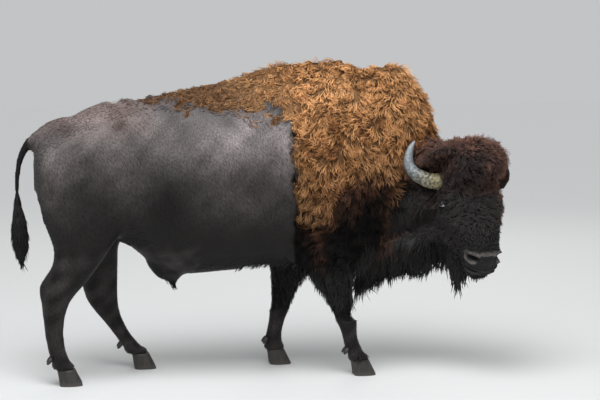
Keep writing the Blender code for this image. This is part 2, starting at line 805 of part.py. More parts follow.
def dress(obj, collection):
    """Puts obj into the model's collection, with its finish."""
    for other in list(obj.users_collection):
        other.objects.unlink(obj)
    collection.objects.link(obj)
    obj.data.materials.clear()
    obj.data.materials.append(material(finish_name(obj.name)))
    obj.data.name = obj.name


def centre_on_footprint(objects):
    """Moves the model so that the middle of its outline in plan is at the origin."""
    corners = np.array([obj.matrix_world @ v.co for obj in objects for v in obj.data.vertices])
    middle = (corners.min(0) + corners.max(0)) / 2
    shift = Matrix.Translation((-middle[0], -middle[1], -corners[:, 2].min()))
    for obj in objects:
        obj.data.transform(shift)


def main():
    for obj in list(bpy.data.objects):
        bpy.data.objects.remove(obj)
    collection = bpy.data.collections.new(COLLECTION_NAME)
    bpy.context.scene.collection.children.link(collection)

    form = all_flesh()
    body = fused("body", form, BODY_VOXEL, 8, BODY_TRIANGLES)
    skull = fused("head", form, HEAD_VOXEL, 5, HEAD_TRIANGLES * 5)
    remove([form])
    plane_point = HEAD_ORIGIN + NECK_PLANE_NORMAL * NECK_PLANE_OFFSET
    keep_side(body, plane_point - NECK_PLANE_NORMAL * GAP / 2, -NECK_PLANE_NORMAL)
    keep_side(skull, plane_point + NECK_PLANE_NORMAL * GAP / 2, NECK_PLANE_NORMAL)
    thin = skull.modifiers.new("facets", "DECIMATE")
    thin.ratio = HEAD_TRIANGLES / len(skull.data.polygons)
    bake_modifiers(skull)

    # Hair lies on the flesh; horns, ears, eyes and tail sit in sockets.
    hair = [crown_hair(), chest_mane(), beard()]
    keep_side(hair[1], BEARD_PLANE_POINT - BEARD_PLANE_NORMAL * GAP / 2, -BEARD_PLANE_NORMAL)
    keep_side(hair[2], BEARD_PLANE_POINT + BEARD_PLANE_NORMAL * GAP / 2, BEARD_PLANE_NORMAL)
    for flesh in (skull, body):
        cutter = swollen("flesh", flesh, GAP)
        for mass in hair:
            cut_away(mass, cutter)
        remove([cutter])
    dock, tuft = tail_and_tuft()
    set_in = [horn(1), horn(-1), ear(1), ear(-1), eye(1), eye(-1), dock]
    for obj in set_in:
        socket = swollen("socket", obj, GAP)
        for around in (skull, body, *hair):
            if boxes_meet(around, socket):
                cut_away(around, socket)
        remove([socket])
    for obj in (skull, *hair):
        keep_largest(obj)

    # Feet.
    feet = []
    for foot in LEG_SECTIONS:
        for side, word in ((1, "left"), (-1, "right")):
            feet.append(claw(f"{foot}_{word}_claw", foot, side))
            feet.append(dewclaw(f"{foot}_{word}_dewclaw", foot, side))
    lower_legs = [lower_leg(name) for name in LEG_SECTIONS]
    for obj in feet:
        if "dewclaw" in obj.name:
            socket = swollen("socket", obj, GAP)
            for shin in lower_legs:
                if boxes_meet(shin, socket):
                    cut_away(shin, socket)
            remove([socket])
    clear_below(body, -2.0, -0.6, HIND_HOCK_CUT)
    clear_below(body, -0.6, 1.0, FORE_KNEE_CUT)

    named = part_body(body)
    everything = [*named.values(), *lower_legs, skull, *hair, *set_in, *feet, tuft]
    skull.name = "head"
    for obj in everything:
        dress(obj, collection)
    centre_on_footprint(everything)


main()
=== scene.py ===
"""American bison bull, walking stance, head turned to its right: skin, coat, horns, hooves and eyes.

The CAD part gives the outline out to the tips of the coat. Here one skin is fused from its flesh and
hair masses and drawn in by the depth of the coat, and the coat is planted on it as solid locks.
"""

import logging
import math
from dataclasses import dataclass, field, replace
from enum import Enum

import bmesh
import bpy
import numpy as np
from mathutils import Matrix, Vector
from mathutils.kdtree import KDTree


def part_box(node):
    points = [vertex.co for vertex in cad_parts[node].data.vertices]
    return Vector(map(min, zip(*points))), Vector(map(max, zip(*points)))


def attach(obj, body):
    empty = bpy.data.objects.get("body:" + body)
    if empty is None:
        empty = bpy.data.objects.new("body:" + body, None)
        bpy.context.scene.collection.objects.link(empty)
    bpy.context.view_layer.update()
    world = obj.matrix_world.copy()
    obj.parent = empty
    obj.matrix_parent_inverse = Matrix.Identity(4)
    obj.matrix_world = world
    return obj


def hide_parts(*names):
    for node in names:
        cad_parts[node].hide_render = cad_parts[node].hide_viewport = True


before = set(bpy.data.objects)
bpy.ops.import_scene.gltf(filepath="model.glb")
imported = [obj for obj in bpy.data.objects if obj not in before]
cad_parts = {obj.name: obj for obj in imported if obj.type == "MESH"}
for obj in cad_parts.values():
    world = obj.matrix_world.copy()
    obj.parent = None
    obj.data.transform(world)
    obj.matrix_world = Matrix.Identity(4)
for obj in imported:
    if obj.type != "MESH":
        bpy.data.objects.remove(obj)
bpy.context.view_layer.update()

LOG = logging.getLogger("bison")
Array = np.ndarray
Colour = tuple[float, float, float]
Socket = bpy.types.NodeSocket
Feed = float | Colour | Socket


# ------------------------------------------------------------------ numeric helpers
def rise(low: float | Array, high: float | Array, value: Array) -> Array:
    """Smooth step from 0 at low to 1 at high.

    Args:
        low: where the step starts.
        high: where it ends.
        value: the values to grade.

    Returns:
        The graded values.
    """
    t = np.clip((value - low) / (np.asarray(high) - low + 1e-9), 0.0, 1.0)
    return t * t * (3.0 - 2.0 * t)


def unit(vectors: Array) -> Array:
    """Vectors scaled to length one.

    Args:
        vectors: rows of vectors.

    Returns:
        Rows of unit vectors.
    """
    return vectors / (np.linalg.norm(vectors, axis=-1, keepdims=True) + 1e-9)


def dot(a: Array, b: Array) -> Array:
    """Row by row scalar product, kept as a column.

    Args:
        a: rows of vectors.
        b: rows of vectors.

    Returns:
        One column of products.
    """
    return np.sum(a * b, axis=-1, keepdims=True)


@dataclass(frozen=True)
class Waves:
    """A smooth random field over space, made of a few crossed waves."""

    seed: int
    wavelength: float
    count: int = 9

    def at(self, points: Array) -> Array:
        """The field, roughly between -1 and 1.

        Args:
            points: rows of places.

        Returns:
            One value a place.
        """
        rng = np.random.default_rng(self.seed)
        ways = unit(rng.normal(size=(self.count, 3)))
        lengths = self.wavelength * rng.uniform(0.6, 1.7, self.count)
        phases = rng.uniform(0, 2 * math.pi, self.count)
        total = np.zeros(len(points))
        for way, length, phase in zip(ways, lengths, phases):
            total += np.sin(points @ way * (2 * math.pi / length) + phase)
        return total / math.sqrt(self.count) * 1.2


# ------------------------------------------------------------------ where things are
@dataclass(frozen=True)
class HeadFrame:
    """The head's own axes: along the face to the nose, out of the forehead, to its right."""

    design_origin: tuple[float, float, float] = (0.902, -0.250, 1.143)
    heading: float = math.radians(-79.0)
    pitch: float = math.radians(59.0)
    eye_along: float = 0.176
    eye_out: float = 0.004
    nose_back: float = 0.050

    @property
    def axes(self) -> Array:
        """Rows: along, out and right, in the row frame."""
        c, s = math.cos(self.heading), math.sin(self.heading)
        cp, sp = math.cos(self.pitch), math.sin(self.pitch)
        return np.array([[c * cp, s * cp, -sp], [c * sp, s * sp, cp], [s, -c, 0.0]])

    @property
    def origin(self) -> Array:
        """The head's origin in the row frame, found from the CAD eyes."""
        corners = [np.array(c) for side in ("left", "right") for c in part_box("eye_" + side)]
        middle = sum(corners) / 4
        return middle - np.array([self.eye_along, self.eye_out, 0.0]) @ self.axes

    @property
    def shift(self) -> Array:
        """From the body's design coordinates to the row frame."""
        return self.origin - np.array(self.design_origin)

    def local(self, points: Array) -> Array:
        """Places in the head's axes.

        Args:
            points: rows of places in the row frame.

        Returns:
            Rows of (along, out, right).
        """
        return (points - self.origin) @ self.axes.T

    def eye_distance(self, a: Array, o: Array) -> Array:
        """Distance from the eye's middle, seen from the side.

        Args:
            a: distances along the face.
            o: distances out of the forehead.

        Returns:
            One distance a place.
        """
        return np.hypot(a - self.eye_along, o - self.eye_out)

    def slope(self, a: Array, o: Array) -> tuple[Array, Array]:
        """Coordinates down the slope of the nose's front, and out of it, from a point in the skull.

        Args:
            a: distances along the face.
            o: distances out of the forehead.

        Returns:
            Both coordinates.
        """
        a = a + self.nose_back
        return (a - o) / math.sqrt(2), (a + o) / math.sqrt(2)

    def world(self, places: Array) -> Array:
        """Places in the row frame.

        Args:
            places: rows of (along, out, right).

        Returns:
            Rows of places in the row frame.
        """
        return np.asarray(places, float) @ self.axes + self.origin


# along the face, out of the forehead, to the side, radius
HORN_PATH: tuple[tuple[float, float, float, float], ...] = (
    (0.010, -0.006, 0.085, 0.0470),
    (0.026, -0.014, 0.140, 0.0465),
    (0.013, -0.028, 0.200, 0.0450),
    (-0.014, -0.040, 0.242, 0.0415),
    (-0.042, -0.044, 0.278, 0.0375),
    (-0.086, -0.042, 0.302, 0.0315),
    (-0.132, -0.030, 0.304, 0.0260),
    (-0.176, -0.012, 0.290, 0.0190),
    (-0.200, 0.002, 0.276, 0.0120),
    (-0.218, 0.012, 0.262, 0.0040),
)
LEFT_HORN_TUCK = 0.91  # the left horn stands a little closer in
# middle and half sizes, in the head's axes
BONNET_DOME = ((-0.020, 0.060, -0.004), (0.180, 0.240, 0.284))
BONNET_LOBE = ((-0.112, -0.020, 0.136), (0.142, 0.142, 0.114))  # one inside each horn
NECK_PLANE = (0.62, -0.68, -0.38)  # across the neck, towards the head


class Region(Enum):
    """The kinds of coat, each with its own length, curl and lie."""

    CAPE = "cape"
    MANE = "mane"
    CROWN = "crown"
    FACE = "face"
    BEARD = "beard"
    BODY = "body"
    LEG = "leg"
    CHAPS = "chaps"
    TAIL = "tail"
    TUFT = "tuft"
    EAR = "ear"


@dataclass
class Atlas:
    """Says, for any place on the animal, which coat grows there, how deep, and its markings."""

    head: HeadFrame
    nostril_down: float = 0.392
    nostril_side: float = 0.080
    # the lower edge of the golden wool
    cape_low_x: tuple[float, ...] = (
        -1.12, -1.00, -0.85, -0.58, -0.30, -0.14, -0.08, -0.05, 0.03, 0.09,
        0.14, 0.22, 0.33, 0.42, 0.50, 0.54, 0.60, 0.66, 0.80,
    )
    cape_low_z: tuple[float, ...] = (
        1.66, 1.575, 1.555, 1.535, 1.515, 1.48, 1.40, 0.99, 0.93, 0.84,
        0.99, 1.10, 1.18, 1.17, 1.06, 0.98, 1.03, 1.18, 1.40,
    )
    # painted sheen and top light on the flank, with painted shade in the flank hollow where the amount is
    # below zero: along the body, height, their reaches, amount
    painted_light_zones: tuple[tuple[float, float, float, float, float], ...] = (
        (-0.33, 1.38, 0.24, 0.13, 0.60),
        (-0.42, 1.00, 0.20, 0.10, 0.13),
        (-1.15, 1.52, 0.28, 0.12, 0.55),
        (-0.98, 1.09, 0.12, 0.12, 0.12),
        (-0.12, 1.15, 0.08, 0.25, 0.15),
        (-0.79, 1.15, 0.11, 0.24, -0.07),
        (-1.42, 1.20, 0.10, 0.25, 0.25),
    )

    def weights(self, points: Array) -> dict[Region, Array]:
        """How strongly each coat grows at each place.

        Args:
            points: rows of places in the row frame.

        Returns:
            A value from 0 to 1 for each region and place.
        """
        d = points - self.head.shift
        x, y, z = d.T
        a, o, r = self.head.local(points).T
        side = np.abs(r)
        jitter = Waves(3, 0.09).at(points)
        near_head = (x > 0.42) & (z > 0.40)
        plane = (d - np.array(self.head.design_origin)) @ np.array(NECK_PLANE)
        head = rise(-0.185, -0.125, plane) * near_head
        crown = head * rise(0.115, 0.085, a + 0.02 * jitter) * rise(-0.10, -0.02, o)
        crown = np.maximum(crown, near_head * rise(1.15, 1.0, self._oval(a, o, r)))
        from_horn = (np.stack([a, o, side], axis=1) - (-0.02, -0.02, 0.16)) / (0.17, 0.15, 0.19)
        around_horn = np.linalg.norm(from_horn, axis=1)
        crown = np.maximum(crown, near_head * rise(1.10, 0.95, around_horn + 0.06 * jitter))
        ear = near_head * rise(0.055, 0.040, self._ear_distance(a, o, side))
        beard = head * rise(0.80, 0.74, z) * rise(-0.10, -0.16, o) * rise(0.66, 0.60, z + o)
        beard = np.maximum(beard, near_head * (z < 0.76) * rise(-0.185, -0.205, o) * (plane > -0.2))
        strip = rise(-0.02, 0.02, self._over_edge(points, x, z)) * (x < -0.06)
        wool = rise(-0.075, -0.045, x + 0.012 * jitter) * rise(0.60, 0.68, z)
        wool = np.maximum(wool, strip * 0.75) * (1 - head)
        mane = rise(0.80, 0.72, z + 0.03 * jitter) * rise(0.24, 0.30, x) * (z > 0.44)
        throat = rise(0.44, 0.52, x) * rise(1.08, 0.92, z + 0.04 * jitter)
        mane = np.maximum(mane, throat) * (1 - head * rise(-0.06, 0.02, plane))
        chaps = (x > -0.35) & (x < 0.40) & (np.abs(y) < 0.40)
        chaps = chaps * rise(0.30, 0.36, z) * rise(0.68, 0.60, z) * (1 - mane)
        sheath = rise(0.56, 0.52, z) * ((x > -0.85) & (x < -0.62) & (np.abs(y) < 0.07))
        chaps = np.maximum(chaps, sheath)
        leg_top = np.where(x < -0.6, 0.74, 0.60)
        leg = rise(leg_top + 0.08, leg_top - 0.06, z) * (z < 0.82)
        tail = (x < -1.47) & (z > 1.03)
        tail = np.where(x < -1.535, 1.0, 0.0) * tail
        tuft = ((x < -1.50) & (z < 1.07) & (z > 0.62) & (np.abs(y) < 0.075)).astype(float)
        face = head * (1 - crown) * (1 - beard)
        result = {
            Region.CROWN: crown * (1 - ear),
            Region.EAR: ear,
            Region.BEARD: beard,
            Region.FACE: face * (1 - ear),
            Region.MANE: mane * (1 - beard) * (1 - crown) * (1 - ear),
            Region.CAPE: wool * (1 - mane) * (1 - crown) * (1 - ear),
            Region.CHAPS: chaps,
            Region.TAIL: tail,
            Region.TUFT: tuft,
            Region.LEG: leg * (1 - chaps) * (1 - mane) * (1 - tuft),
        }
        long_hair = np.clip(sum(result.values()), 0, 1)
        result[Region.BODY] = 1 - long_hair
        return result

    def _oval(self, a: Array, o: Array, r: Array) -> Array:
        """How far a place is from the bonnet's dome or the nearer lobe, 1 at the outline.

        Args:
            a: distances along the face.
            o: distances out of the forehead.
            r: distances to the right.

        Returns:
            One value a place.
        """
        nearest = np.full(len(a), np.inf)
        for (middle, sizes), across in ((BONNET_DOME, r), (BONNET_LOBE, np.abs(r))):
            away = (np.stack([a, o, across], axis=1) - middle) / sizes
            nearest = np.minimum(nearest, (away**2).sum(1))
        return np.sqrt(nearest)

    def horn_gap(self, points: Array) -> tuple[Array, Array]:
        """Distance from the nearer horn's surface, and the nearest place on its middle line.

        Args:
            points: rows of places.

        Returns:
            One distance a place, and rows of places in the head's axes, on the right side.
        """
        a, o, r = self.head.local(points).T
        places = np.stack([a, o, np.where(r < 0, -r / LEFT_HORN_TUCK, r)], axis=1)
        rows = np.array(HORN_PATH[1:])
        best, nearest = np.full(len(places), 9.0), places.copy()
        for start, end in zip(rows[:-1], rows[1:]):
            way = end[:3] - start[:3]
            t = np.clip((places - start[:3]) @ way / (way @ way), 0, 1)
            middle = start[:3] + t[:, None] * way
            gap = np.linalg.norm(places - middle, axis=1) - (start[3] + t * (end[3] - start[3]))
            nearest = np.where((gap < best)[:, None], middle, nearest)
            best = np.minimum(best, gap)
        return best, nearest

    def _ear_distance(self, a: Array, o: Array, side: Array) -> Array:
        """Distance from the ear's middle line.

        Args:
            a: distances along the face.
            o: distances out of the forehead.
            side: distances to either side.

        Returns:
            One distance a place.
        """
        places = np.stack([a, o, side], axis=1)
        start, end = np.array([0.047, -0.150, 0.200]), np.array([0.034, -0.204, 0.302])
        way = end - start
        t = np.clip((places - start) @ way / (way @ way), 0, 1)
        return np.linalg.norm(places - start - t[:, None] * way, axis=1)

    def _over_edge(self, points: Array, x: Array, z: Array) -> Array:
        """Height over the ragged lower edge of the golden wool.

        Args:
            points: rows of places.
            x: their places along the body.
            z: their heights.

        Returns:
            One height a place, below zero under the edge.
        """
        jitter = Waves(5, 0.11).at(points)
        fine = Waves(7, 0.035).at(points)
        edge = np.interp(x + 0.02 * jitter, self.cape_low_x, self.cape_low_z)
        return z - edge + 0.030 * jitter + 0.018 * fine

    def depth(self, points: Array) -> Array:
        """How far the skin lies under the coat's outline.

        Args:
            points: rows of places on the outline.

        Returns:
            One depth a place, in metres.
        """
        w = self.weights(points)
        a, _, r = self.head.local(points).T
        deep = {
            Region.CAPE: 0.040, Region.MANE: 0.050, Region.CROWN: 0.036, Region.FACE: 0.018,
            Region.BEARD: 0.045, Region.BODY: 0.009, Region.LEG: 0.006, Region.CHAPS: 0.022,
            Region.TAIL: 0.004, Region.TUFT: 0.014, Region.EAR: 0.004,
        }
        total = sum(w[k] for k in deep)
        depth = sum(deep[k] * w[k] for k in deep) / np.maximum(total, 1e-6)
        far_side = rise(-0.12, -0.22, r) * (0.014 + 0.022 * rise(-0.06, 0.05, a))
        depth = depth + far_side * w[Region.CROWN]
        bare = self.muzzle(points)
        return depth * (1 - bare) + 0.003 * bare

    def muzzle(self, points: Array) -> Array:
        """1 on the nose and lips, 0 away from them.

        Args:
            points: rows of places.

        Returns:
            One value a place.
        """
        a, o, r = self.head.local(points).T
        return rise(0.29, 0.43, a + 0.35 * o) * (np.abs(r) < 0.16) * (o > -0.20)

    def bare(self, points: Array) -> Array:
        """1 where leather shows: nose pad, lips and the eye's rim.

        Args:
            points: rows of places.

        Returns:
            One value a place.
        """
        a, o, r = self.head.local(points).T
        side = np.abs(r)
        down, out = self.head.slope(a, o)
        uneven = 0.006 * Waves(29, 0.018).at(points)
        nose = rise(0.328, 0.346, down - 0.12 * side + uneven) * rise(0.500, 0.488, down)
        nose = nose * rise(0.330, 0.345, out) * rise(0.112, 0.098, side)
        eye = rise(0.024, 0.018, self.head.eye_distance(a, o))
        return np.maximum(nose * (a > 0.35), eye * (side > 0.12) * (side < 0.26))

    def nose_marks(self, points: Array) -> Array:
        """Parts of the nose: the grey wing of the nostril, the wet black pad, and painted shade inside the
        nostril.

        Args:
            points: rows of places.

        Returns:
            Three values a place.
        """
        a, o, r = self.head.local(points).T
        side = np.abs(r)
        down, out = self.head.slope(a, o)
        jitter = 0.0025 * Waves(13, 0.02).at(points)
        pit = self.nostril(down, out, side)
        fold = self.fold(down, out, side)
        # painted shade: marks the nostril's inside to be darkened
        inside = rise(1.15, 0.60, pit) * (1 - 0.85 * fold)
        pad = rise(0.372, 0.384, down + jitter) * rise(0.074, 0.056, side + jitter) * rise(0.480, 0.472, down)
        wing = rise(0.342, 0.374, down + 2 * jitter) * rise(0.386, 0.376, down + jitter)
        rim = np.exp(-(((np.sqrt(pit) - 1.45) / 0.40) ** 2)) * rise(0.072, 0.090, side)
        lip = rise(0.466, 0.472, down) * rise(0.488, 0.482, down) * 0.30
        wing = np.maximum.reduce([wing, 0.8 * rim, lip, fold])
        nose = np.stack([wing * (1 - pad * (1 - fold)), pad * (1 - fold), inside], axis=1)
        return np.clip(nose, 0, 1) * (a > 0.35)[:, None]

    def nostril(self, down: Array, out: Array, side: Array) -> Array:
        """How far a place is from the middle of a nostril, 1 at its rim.

        Args:
            down: distances down the nose's front.
            out: distances out of it.
            side: distances to either side.

        Returns:
            One squared value a place.
        """
        across = side - self.nostril_side
        slot = down - self.nostril_down + 0.16 * across
        return (slot / 0.0180) ** 2 + ((out - 0.405) / 0.045) ** 2 + (across / 0.028) ** 2

    def fold(self, down: Array, out: Array, side: Array) -> Array:
        """1 on the fleshy fold in the lower part of a nostril, 0 away from it.

        Args:
            down: distances down the nose's front.
            out: distances out of it.
            side: distances to either side.

        Returns:
            One value a place.
        """
        along = (down - self.nostril_down - 0.018) / 0.014
        across = (side - self.nostril_side + 0.006) / 0.019
        return np.exp(-(along**2 + across**2)) * (out > 0.34)

    def marks(self, points: Array) -> Array:
        """Markings: golden wool, painted sheen and top light on the flank, and umber with painted highlights
        on the bonnet's top and far side.

        Args:
            points: rows of places.

        Returns:
            Three values a place.
        """
        d = points - self.head.shift
        x, _, z = d.T
        a, _, r = self.head.local(points).T
        w = self.weights(points)
        jitter = Waves(5, 0.11).at(points)
        fine = Waves(7, 0.035).at(points)
        low = np.interp(x, self.cape_low_x, self.cape_low_z)
        ragged = self._over_edge(points, x, z)
        dark_head = w[Region.CROWN] + w[Region.FACE] + w[Region.BEARD] + w[Region.EAR]
        from_cheek = np.linalg.norm(points - self.head.world([0.10, -0.14, 0.16]), axis=1)
        cheek = rise(0.30, 0.22, from_cheek + 0.03 * jitter)
        not_head = 1 - np.clip(dark_head + cheek * (x > 0.4), 0, 1)
        soft = np.where(x < -0.05, 0.018, 0.07)
        gold = rise(-soft, soft, ragged) * rise(-0.085, -0.055, x + 0.01 * jitter + 10 * (z > 1.42))
        gold = gold * not_head * np.clip(1.6 * (w[Region.CAPE] + w[Region.MANE]), 0, 1)
        gold *= np.interp(z, (0.90, 1.40), (0.35, 1.0)) * np.interp(x, (-0.9, -0.4, 0.0), (0.40, 0.55, 1.0))
        umber = 0.75 * rise(-0.24, -0.02, z - low + 0.04 * jitter) * rise(-0.01, 0.10, x) * not_head
        strip = rise(0.10, 0.03, np.abs(x - 0.50 + 0.02 * jitter)) * rise(0.66, 0.90, z) * not_head
        umber = np.maximum(umber, 0.85 * strip)
        # painted highlights: the bonnet's top and far side get paler, redder umber as if lit; the base of
        # 0.12 and the parting are its own tint
        crown_top_highlight = w[Region.CROWN] * rise(0.06, -0.15, a + 0.03 * jitter) * 0.62
        far_side = w[Region.CROWN] * rise(0.06, -0.20, r + 0.03 * jitter) * 0.55
        parting = 0.5 * np.exp(-(((r - 0.02 + 0.01 * jitter) / 0.028) ** 2)) * rise(0.02, -0.10, a)
        crown_tint_and_highlight = np.clip(0.12 + crown_top_highlight + far_side + parting, 0, 1)
        umber = np.maximum(umber, crown_tint_and_highlight * w[Region.CROWN] * (0.8 + 0.2 * fine))
        umber = np.maximum(umber, 0.25 * w[Region.FACE] * rise(0.2, -0.1, a))
        far_cheek = rise(-0.10, -0.16, r + 0.02 * jitter) * rise(0.40, 0.20, a)
        umber = np.maximum(umber, 0.55 * w[Region.FACE] * far_cheek)
        rump = rise(1.30, 1.56, z) * rise(-0.75, -1.05, x) * w[Region.BODY]
        umber = np.maximum(umber, 0.45 * rump)
        # painted top light and sheen: the flank mark grows with height and in the light zones, and fades out
        # low on the body
        flank = 0.02 + 0.34 * rise(0.95, 1.50, z)
        for px, pz, rx, rz, amount in self.painted_light_zones:
            flank += amount * np.exp(-(((x - px) / rx) ** 2) - ((z - pz) / rz) ** 2)
        patch = Waves(11, 0.30).at(points)
        flank = flank * (1 + 0.22 * patch + 0.15 * jitter) * w[Region.BODY] * rise(0.62, 0.95, z)
        legs = w[Region.LEG] * (0.05 + 0.05 * jitter)
        return np.clip(np.stack([gold, flank + legs, umber], axis=1), 0, 1)

    def lie(self, points: Array, normals: Array) -> Array:
        """Which way the hair points along the skin.

        Args:
            points: rows of places.
            normals: the skin's unit normals there.

        Returns:
            Rows of unit vectors along the skin.
        """
        x = points[:, 0] - self.head.shift[0]
        w = self.weights(points)
        _, o, r = self.head.local(points).T
        axes = self.head.axes
        way = np.zeros_like(points)
        way += w[Region.BODY][:, None] * np.array([-1.0, 0.0, -0.42])
        forward = np.interp(x, (0.25, 0.55), (-0.65, 0.25))
        way[:, 0] += w[Region.CAPE] * forward
        way[:, 2] -= w[Region.CAPE] * 0.70
        down = w[Region.MANE] + w[Region.BEARD] + w[Region.CHAPS] + w[Region.TUFT] + w[Region.TAIL]
        way += down[:, None] * np.array([-0.10, 0.0, -1.6])
        way += w[Region.LEG][:, None] * np.array([-0.25, 0.0, -1.0])
        crown = w[Region.CROWN][:, None]
        sideways = (np.sign(r) * rise(0.02, 0.2, np.abs(r)))[:, None] * axes[2]
        way += crown * (axes[0] * 0.8 + axes[1] * 0.25 + sideways * 0.7)
        face = w[Region.FACE][:, None]
        away = (np.sign(r) * rise(0.01, 0.1, np.abs(r)))[:, None] * axes[2]
        back = rise(0.02, -0.10, o)[:, None]
        way += face * (axes[0] * (0.25 - 0.1 * back) + away * 0.5 * (1 - back) - axes[1] * 0.8 * back)
        way += w[Region.EAR][:, None] * ((np.sign(r))[:, None] * axes[2] - np.array([0, 0, 0.7]))
        way = way - dot(way, normals) * normals
        return unit(way)


# ------------------------------------------------------------------ meshes from arrays
def triangles_object(name: str, vertices: Array, triangles: Array) -> bpy.types.Object:
    """An object of smooth triangles.

    Args:
        name: the object's name.
        vertices: rows of places.
        triangles: rows of three vertex numbers.

    Returns:
        The new object, linked to the scene.
    """
    mesh = bpy.data.meshes.new(name)
    mesh.vertices.add(len(vertices))
    mesh.vertices.foreach_set("co", np.ascontiguousarray(vertices, np.float32).ravel())
    mesh.loops.add(len(triangles) * 3)
    mesh.loops.foreach_set("vertex_index", np.ascontiguousarray(triangles, np.int32).ravel())
    mesh.polygons.add(len(triangles))
    mesh.polygons.foreach_set("loop_start", np.arange(0, len(triangles) * 3, 3, dtype=np.int32))
    mesh.polygons.foreach_set("use_smooth", np.ones(len(triangles), bool))
    mesh.update(calc_edges=True)
    obj = bpy.data.objects.new(name, mesh)
    bpy.context.scene.collection.objects.link(obj)
    return obj


def paint(mesh: bpy.types.Mesh, name: str, values: Array) -> None:
    """Stores three values a vertex as a colour attribute.

    Args:
        mesh: the mesh.
        name: the attribute's name.
        values: rows of three values.
    """
    layer = mesh.attributes.new(name, "FLOAT_COLOR", "POINT")
    full = np.ones((len(values), 4), np.float32)
    full[:, :3] = values
    layer.data.foreach_set("color", full.ravel())


def vertex_array(mesh: bpy.types.Mesh, what: str) -> Array:
    """Places or normals of a mesh's vertices.

    Args:
        mesh: the mesh.
        what: "co" or "normal".

    Returns:
        Rows of three numbers.
    """
    values = np.empty(len(mesh.vertices) * 3, np.float32)
    mesh.vertices.foreach_get(what, values)
    return values.reshape(-1, 3).astype(float)


def select_only(obj: bpy.types.Object) -> None:
    """Makes obj the only selected and the active object.

    Args:
        obj: the object.
    """
    bpy.ops.object.select_all(action="DESELECT")
    obj.select_set(True)
    bpy.context.view_layer.objects.active = obj


def move_vertices(obj: bpy.types.Object, places: Array) -> None:
    """Puts an object's vertices at new places.

    Args:
        obj: the object.
        places: rows of places, one for each vertex.
    """
    obj.data.vertices.foreach_set("co", places.astype(np.float32).ravel())
    obj.data.update()


def apply_modifier(obj: bpy.types.Object, kind: str, **settings) -> None:
    """Adds a modifier and applies it.

    Args:
        obj: the object.
        kind: the modifier's type.
        **settings: the modifier's own properties.
    """
    select_only(obj)
    modifier = obj.modifiers.new(kind.lower(), kind)
    for key, value in settings.items():
        setattr(modifier, key, value)
    bpy.ops.object.modifier_apply(modifier=modifier.name)


def face_outward(obj: bpy.types.Object) -> None:
    """Turns every face of a closed form outward.

    Args:
        obj: the object.
    """
    select_only(obj)
    bpy.ops.object.mode_set(mode="EDIT")
    bpy.ops.mesh.select_all(action="SELECT")
    bpy.ops.mesh.normals_make_consistent(inside=False)
    bpy.ops.object.mode_set(mode="OBJECT")


def copy_of(node: str) -> bpy.types.Object:
    """A free copy of a CAD node.

    Args:
        node: the node's name.

    Returns:
        The copy, linked to the scene.
    """
    obj = bpy.data.objects.new(node + "_copy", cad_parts[node].data.copy())
    bpy.context.scene.collection.objects.link(obj)
    obj.data.materials.clear()
    return obj


# ------------------------------------------------------------------ shader graphs
@dataclass
class Graph:
    """A small helper that adds nodes and links to a node tree."""

    tree: bpy.types.NodeTree

    def add(self, kind: str, inputs: dict | None = None, **settings) -> bpy.types.Node:
        """Adds a node.

        Args:
            kind: the node's type.
            inputs: by socket name or number, a value or a socket to link from.
            **settings: the node's own properties.

        Returns:
            The node.
        """
        node = self.tree.nodes.new(kind)
        for key, value in settings.items():
            setattr(node, key, value)
        for key, value in (inputs or {}).items():
            if isinstance(value, bpy.types.NodeSocket):
                self.tree.links.new(value, node.inputs[key])
            else:
                node.inputs[key].default_value = value
        return node

    def mix(self, factor: Feed, first: Feed, second: Feed, blend: str = "MIX") -> Socket:
        """Mixes two colours.

        Args:
            factor: number or socket.
            first: colour or socket.
            second: colour or socket.
            blend: the blend type.

        Returns:
            The result's socket.
        """
        node = self.add("ShaderNodeMix", data_type="RGBA", blend_type=blend)
        for index, value in ((0, factor), (6, first), (7, second)):
            if isinstance(value, bpy.types.NodeSocket):
                self.tree.links.new(value, node.inputs[index])
            else:
                node.inputs[index].default_value = value if index == 0 else (*value[:3], 1.0)
        return node.outputs[2]

    def math(self, operation: str, first: Feed, second: Feed = 0.0) -> Socket:
        """One arithmetic step.

        Args:
            operation: the node's operation.
            first: number or socket.
            second: number or socket.

        Returns:
            The result's socket.
        """
        return self.add("ShaderNodeMath", {0: first, 1: second}, operation=operation).outputs[0]

    def ramp(self, value: Feed, low: float, high: float, to_low: float = 0.0, to_high: float = 1.0) -> Socket:
        """Maps one range to another, clamped.

        Args:
            value: number or socket.
            low: start of the source range.
            high: end of the source range.
            to_low: result at low.
            to_high: result at high.

        Returns:
            The result's socket.
        """
        inputs = {"Value": value, "From Min": low, "From Max": high, "To Min": to_low, "To Max": to_high}
        return self.add("ShaderNodeMapRange", inputs).outputs[0]

    def grey(self, value: Socket) -> Socket:
        """A grey colour of that value.

        Args:
            value: socket.

        Returns:
            The colour's socket.
        """
        return self.add("ShaderNodeCombineColor", {0: value, 1: value, 2: value}).outputs[0]

    def attribute(self, name: str) -> list[Socket]:
        """The three values of a vertex attribute.

        Args:
            name: the attribute's name.

        Returns:
            One socket for each value.
        """
        colour = self.add("ShaderNodeAttribute", attribute_name=name).outputs["Color"]
        return list(self.add("ShaderNodeSeparateColor", {0: colour}).outputs)[:3]

    def stretched_noise(
        self, scale: float, stretch: Colour, detail: float = 3.0, coords: Socket | None = None
    ) -> Socket:
        """Noise over object space, stretched along an axis.

        Args:
            scale: the noise's scale.
            stretch: factors on x, y and z.
            detail: octaves.
            coords: another vector socket to use.

        Returns:
            The noise value's socket.
        """
        if coords is None:
            coords = self.add("ShaderNodeTexCoord").outputs["Object"]
        place = self.add("ShaderNodeMapping", {"Vector": coords, "Scale": stretch}).outputs[0]
        return self.add("ShaderNodeTexNoise", {"Vector": place, "Scale": scale, "Detail": detail}).outputs[0]


